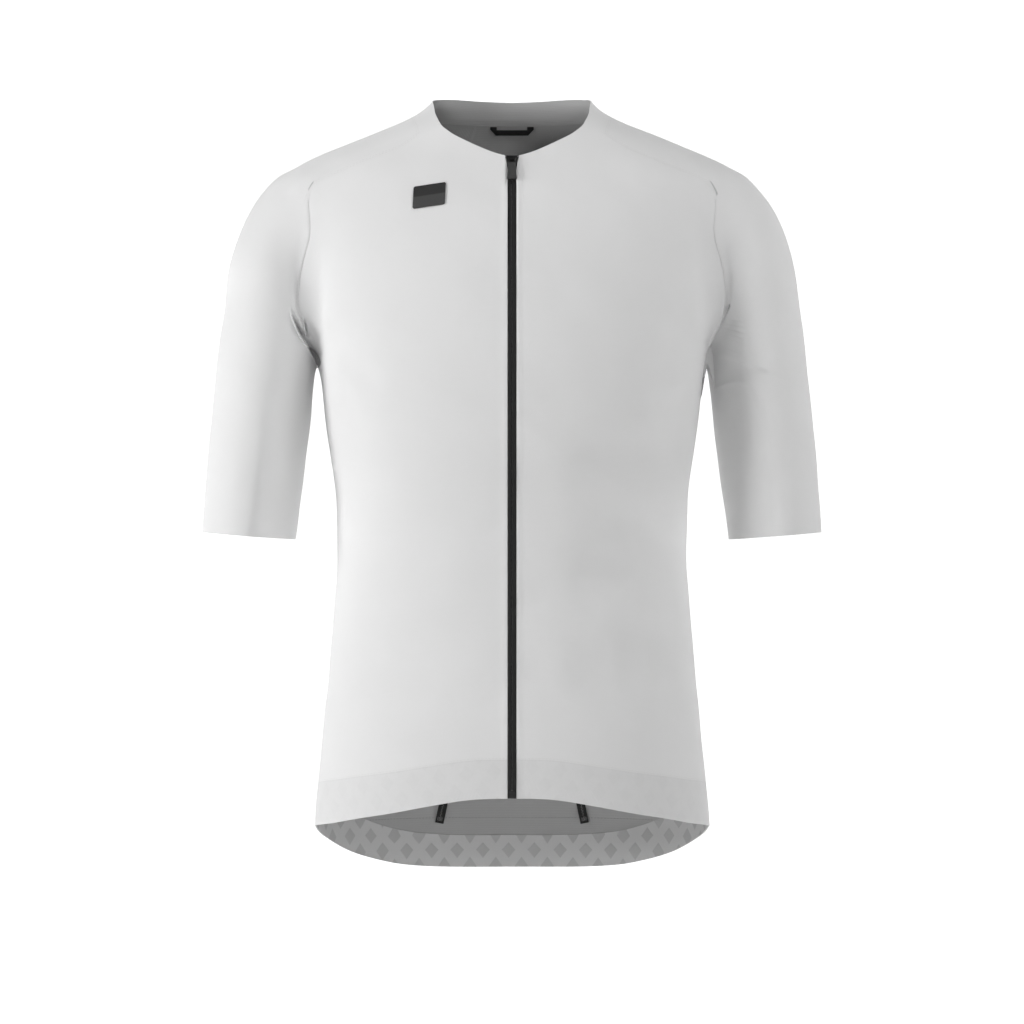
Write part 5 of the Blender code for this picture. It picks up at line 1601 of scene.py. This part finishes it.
class JERSEY_OT_pull(bpy.types.Operator):
    """Model the pull tab: a framed plate with an eye, two arms and a thicker lip"""

    bl_idname = "jersey.pull"
    bl_label = "Pull tab"

    def execute(self, context):
        node = places(frame["nodes"]["zip_pull"].data) - np.array(PIVOT)
        foot = node[node[:, 2] < node[:, 2].min() + 0.0012].mean(axis=0)
        hang = hung(math.atan2(foot[1], -foot[2]))
        plate = self.plate()
        settle(plate, hang)
        dress(plate, "pull_rubber", "pull_rubber", body=PULL_TAB, replaces=["zip_pull"])
        eye = self.eye()
        settle(eye, hang)
        dress(eye, "slider_metal", "slider_lacquer", body=PULL_TAB)
        return {"FINISHED"}

    def plate(self):
        """The moulded plate below the eye, with a sunk panel on both sides and a thicker lip at its foot."""
        plate = block("zip_pull_plate", PLATE_PLACE, PLATE_SIZE)
        with editing(plate):
            for height in PLATE_CUTS_Z:
                cut_at((0.0, 0.0, height), (0.0, 0.0, 1.0))
            select_by(plate, "verts", lambda v: v.co.z < PLATE_LIP_Z)
            scaled(PLATE_LIP_SHARE, center_override=PLATE_LIP_MIDDLE)
            select_by(
                plate, "faces",
                lambda f: abs(f.normal.y) > FLAT_FACING and f.calc_center_median().z > PLATE_PANEL_Z,
            )
            bpy.ops.mesh.inset(thickness=PLATE_BORDER, use_individual=True)
            bpy.ops.mesh.inset(thickness=PLATE_BORDER_STEP, depth=-PLATE_SUNK, use_individual=True)
            select_by(
                plate, "verts", lambda v: v.co.z > PLATE_SHOULDER_Z and abs(v.co.x) > PLATE_SHOULDER_X
            )
            scaled((PLATE_SHOULDER_SHARE, 1.0, 1.0))
        return rounded(plate, PLATE_ROUND)

    def eye(self):
        """The bent wire that joins the plate to the bridge."""
        eye = block("zip_pull_eye", (0.0, 0.0, 0.0), EYE_SIZE)
        with editing(eye):
            for x in (-EYE_INNER_X, EYE_INNER_X):
                cut_at((x, 0.0, 0.0), (1.0, 0.0, 0.0))
            select_by(
                eye, "faces",
                lambda f: f.normal.z < -FLAT_FACING and abs(f.calc_center_median().x) > EYE_INNER_X,
            )
            bpy.ops.mesh.extrude_region_move(TRANSFORM_OT_translate={"value": (0.0, 0.0, -EYE_ARM)})
        return rounded(eye, EYE_ROUND)


class JERSEY_OT_zip_box(bpy.types.Operator):
    """Model the box at the zip's foot"""

    bl_idname = "jersey.zip_box"
    bl_label = "Zip box"

    def execute(self, context):
        low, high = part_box("zip_box")
        size = high - low
        box = block("zip_foot_box", (low + high) / 2, size)
        with editing(box):
            cut_at(low + size * BOX_CUT, (0.0, 0.0, 1.0))
            select_by(box, "verts", lambda v: v.co.z > low.z + BOX_TOP * size.z)
            scaled((BOX_TOP_SHARE, 1.0, 1.0))
            panel_top = low.z + BOX_PANEL * size.z
            select_by(
                box, "faces", lambda f: f.normal.y < -FLAT_FACING and f.calc_center_median().z < panel_top
            )
            bpy.ops.mesh.inset(thickness=BOX_BORDER, depth=-BOX_SUNK)
        settle(rounded(box, BOX_ROUND))
        dress(box, "zip_elements", "zip_elements", replaces=["zip_box"])
        return {"FINISHED"}


def drop_onto(obj, tree, y_start, way, lift):
    """Moves each corner of a flat piece along Y until it lies on a surface, then lifts it off by a little."""
    mesh = obj.data
    points = places(mesh)
    for k, (x, _, z) in enumerate(points):
        place, _, _, _ = tree.ray_cast(Vector((x, y_start, z)), Vector((0.0, way, 0.0)))
        points[k] = place
        points[k, 1] -= way * lift
    set_places(mesh, points)


def cut_in_strips(obj, step, low, high):
    """Cuts a flat piece in the XZ plane along even lines, so that it can follow a curved surface."""
    with editing(obj):
        for axis in (0, 2):
            for at in np.arange(low[axis] + step, high[axis], step):
                place, normal = [0.0, 0.0, 0.0], [0.0, 0.0, 0.0]
                place[axis], normal[axis] = at, 1.0
                cut_at(place, normal)


def face_towards(obj, way):
    """Turns an open piece's faces to look along a direction."""
    with editing(obj, everything=True):
        bpy.ops.mesh.normals_make_consistent(inside=False)
    if sum(f.normal.dot(Vector(way)) * f.area for f in obj.data.polygons) < 0:
        turn_over(obj)


def laid_on(obj, cloth, y_start, lift, thickness, edge):
    """Lays a flat piece on the front of a cloth piece, and gives it a thickness and a rounded edge."""
    drop_onto(obj, tree_of(bpy.data.objects[cloth]), y_start, 1.0, lift)
    face_towards(obj, FRONT_WAY)
    add_modifier(obj, "SOLIDIFY", thickness=thickness, offset=1.0, use_rim=True)
    add_modifier(
        obj, "BEVEL", width=edge, segments=PLATE_EDGE_STEPS, limit_method="ANGLE",
        angle_limit=PLATE_EDGE_ANGLE,
    )
    apply_modifiers(obj)


class JERSEY_OT_label(bpy.types.Operator):
    """Model the small bare label on the chest"""

    bl_idname = "jersey.label"
    bl_label = "Chest label"

    def execute(self, context):
        low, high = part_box("chest_label")
        middle = (low + high) / 2
        label = upright_plane("chest_label_plate", LABEL_WIDTH, LABEL_HEIGHT)
        with editing(label, "VERT", everything=True):
            bpy.ops.mesh.bevel(offset=LABEL_CORNER, segments=LABEL_CORNER_STEPS, affect="VERTICES")
        with editing(label, everything=True):
            bpy.ops.mesh.inset(thickness=LABEL_BORDER)
            select_by(label, "faces", lambda f: len(f.verts) > 4)
            bpy.ops.mesh.inset(thickness=LABEL_BORDER_STEP)
        self.shear(label)
        cut_in_strips(label, LABEL_STRIP, [-reach for reach in LABEL_REACH], LABEL_REACH)
        set_places(label.data, places(label.data) + np.array([middle.x, 0.0, middle.z]))
        laid_on(label, "front_right_cloth", -OUTSIDE_Y, LABEL_LIFT, LABEL_THICK, LABEL_ROUND)
        dress(label, "label", "chest_label_print", replaces=["chest_label"])
        return {"FINISHED"}

    def shear(self, label):
        """Tilts the level edges with the chest and leaves the sides nearly upright."""
        points = places(label.data)
        points[:, 2] += points[:, 0] * math.tan(LABEL_TILT)
        points[:, 0] += points[:, 2] * LABEL_LEAN
        set_places(label.data, points)


class JERSEY_OT_hanger_loop(bpy.types.Operator):
    """Model the flat tape loop inside the back of the neck"""

    bl_idname = "jersey.hanger_loop"
    bl_label = "Hanger loop"

    def execute(self, context):
        middle_z = (LOOP_TOP_Z + LOOP_FOOT_Z) / 2
        loop = upright_plane("hanger_loop_tape", 2 * LOOP_HALF, LOOP_TOP_Z - LOOP_FOOT_Z, middle_z)
        inner = LOOP_HALF - LOOP_TAPE
        bar_top = LOOP_FOOT_Z + LOOP_BAR
        with editing(loop):
            for place, normal in (
                ((-inner, 0.0, 0.0), (1.0, 0.0, 0.0)),
                ((inner, 0.0, 0.0), (1.0, 0.0, 0.0)),
                ((0.0, 0.0, bar_top), (0.0, 0.0, 1.0)),
                ((-LOOP_HALF + LOOP_CHAMFER, 0.0, LOOP_FOOT_Z), (1.0, 0.0, 1.0)),
                ((LOOP_HALF - LOOP_CHAMFER, 0.0, LOOP_FOOT_Z), (-1.0, 0.0, 1.0)),
            ):
                cut_at(place, normal)
            select_by(loop, "faces", lambda f: self.outside(f.calc_center_median(), inner, bar_top))
            bpy.ops.mesh.delete(type="FACE")
        cut_in_strips(loop, LOOP_STRIP, (-LOOP_HALF, 0.0, LOOP_FOOT_Z), (LOOP_HALF, 0.0, LOOP_TOP_Z))
        laid_on(loop, "back_cloth", 0.0, LOOP_OFF, LOOP_THICK, LOOP_ROUND)
        dress(loop, "black_tape", "black_tape_weave", replaces=["hanger_loop"])
        return {"FINISHED"}

    def outside(self, middle, inner, bar_top):
        window = abs(middle.x) < inner and middle.z > bar_top
        cut = (abs(middle.x) - (LOOP_HALF - LOOP_CHAMFER)) > (middle.z - LOOP_FOOT_Z)
        return window or cut


class JERSEY_OT_stage(bpy.types.Operator):
    """Set out the floor, the soft lights and the camera"""

    bl_idname = "jersey.stage"
    bl_label = "Stage"

    def execute(self, context):
        self.floor()
        for lamp in LAMPS:
            self.light(lamp)
        world = bpy.data.worlds.new("soft_room")
        world.use_nodes = True
        background = world.node_tree.nodes["Background"].inputs
        background["Color"].default_value = (1.0, 1.0, 1.0, 1.0)
        seen = world.node_tree.nodes.new("ShaderNodeLightPath").outputs["Is Camera Ray"]
        world.node_tree.links.new(seen, background["Strength"])
        context.scene.world = world
        context.scene.view_settings.view_transform = "Standard"
        camera = bpy.data.cameras.new("camera")
        camera.sensor_width = SENSOR
        camera.lens = SENSOR * -CAMERA[1] / PICTURE_WIDTH
        camera.clip_end = FAR
        holder = placed("camera", camera)
        holder.location = CAMERA
        holder.rotation_euler = (math.pi / 2, 0.0, 0.0)
        context.scene.camera = holder
        return {"FINISHED"}

    def floor(self):
        """A floor that runs up into a wall in one sweep."""
        clear_selection()
        bpy.ops.mesh.primitive_plane_add(size=FLOOR_SIZE, location=(0.0, FLOOR_Y, FLOOR_Z))
        floor = new_piece("stage_floor")
        far = FLOOR_SIZE / 2 - NEARLY
        with editing(floor, "EDGE"):
            select_by(floor, "edges", lambda e: all(v.co.y > far for v in e.verts))
            bpy.ops.mesh.extrude_region_move(TRANSFORM_OT_translate={"value": (0.0, 0.0, WALL_HEIGHT)})
            select_by(floor, "edges", lambda e: all(v.co.y > far and abs(v.co.z) < NEARLY for v in e.verts))
            bpy.ops.mesh.bevel(offset=SWEEP, segments=SWEEP_STEPS)
        look = Look("stage_white", colours().stage, 0.9, Specular_IOR_Level=0.0)
        depth = look.add("ShaderNodeSeparateXYZ", {"Vector": look.coordinates("Object")}).outputs["Y"]
        seen = look.add("ShaderNodeLightPath").outputs["Is Camera Ray"]
        shown = look.math("MULTIPLY", seen, BACKDROP_GLOW)
        glow = look.math("MAXIMUM", look.spread(depth, 0.0, BACKDROP_GLOW, GLOW_FROM_Y, GLOW_TO_Y), shown)
        look.shader.inputs["Emission Color"].default_value = (1.0, 1.0, 1.0, 1.0)
        look.links.new(glow, look.shader.inputs["Emission Strength"])
        floor.data.materials.append(look.material)
        settle(floor)
        pick(floor)
        bpy.ops.object.shade_smooth()

    def light(self, lamp):
        data = bpy.data.lights.new(lamp.name, "AREA")
        data.shape = "DISK"
        data.size = lamp.size
        data.energy = lamp.power
        holder = placed(lamp.name, data)
        holder.location = lamp.place
        aim = Vector(LIGHT_AIM) - Vector(lamp.place)
        holder.rotation_euler = aim.to_track_quat("-Z", "Y").to_euler()


class JERSEY_PT_panel(bpy.types.Panel):
    """The jersey's sizes, colours and pieces"""

    bl_label = "Jersey"
    bl_idname = "JERSEY_PT_panel"
    bl_space_type = "VIEW_3D"
    bl_region_type = "UI"
    bl_category = "Jersey"

    def draw(self, context):
        for group in (context.scene.jersey_sizes, context.scene.jersey_colours):
            box = self.layout.box()
            for key in group.__annotations__:
                box.prop(group, key)
        for step in STEPS:
            self.layout.operator(step.bl_idname)


STEPS = (
    JERSEY_OT_cloth,
    JERSEY_OT_pockets,
    JERSEY_OT_stitches,
    JERSEY_OT_seam_edges,
    JERSEY_OT_tapes,
    JERSEY_OT_zip_rows,
    JERSEY_OT_slider,
    JERSEY_OT_pull,
    JERSEY_OT_zip_box,
    JERSEY_OT_label,
    JERSEY_OT_hanger_loop,
    JERSEY_OT_stage,
)
CLASSES = (JerseySizes, JerseyColours) + STEPS + (JERSEY_PT_panel,)


def register():
    for made in CLASSES:
        bpy.utils.register_class(made)
    bpy.types.Scene.jersey_sizes = PointerProperty(type=JerseySizes)
    bpy.types.Scene.jersey_colours = PointerProperty(type=JerseyColours)


def unregister():
    del bpy.types.Scene.jersey_colours
    del bpy.types.Scene.jersey_sizes
    for made in reversed(CLASSES):
        bpy.utils.unregister_class(made)


def main():
    register()
    for step in STEPS:
        group, name = step.bl_idname.split(".")
        getattr(getattr(bpy.ops, group), name)()


if __name__ == "__main__":
    main()
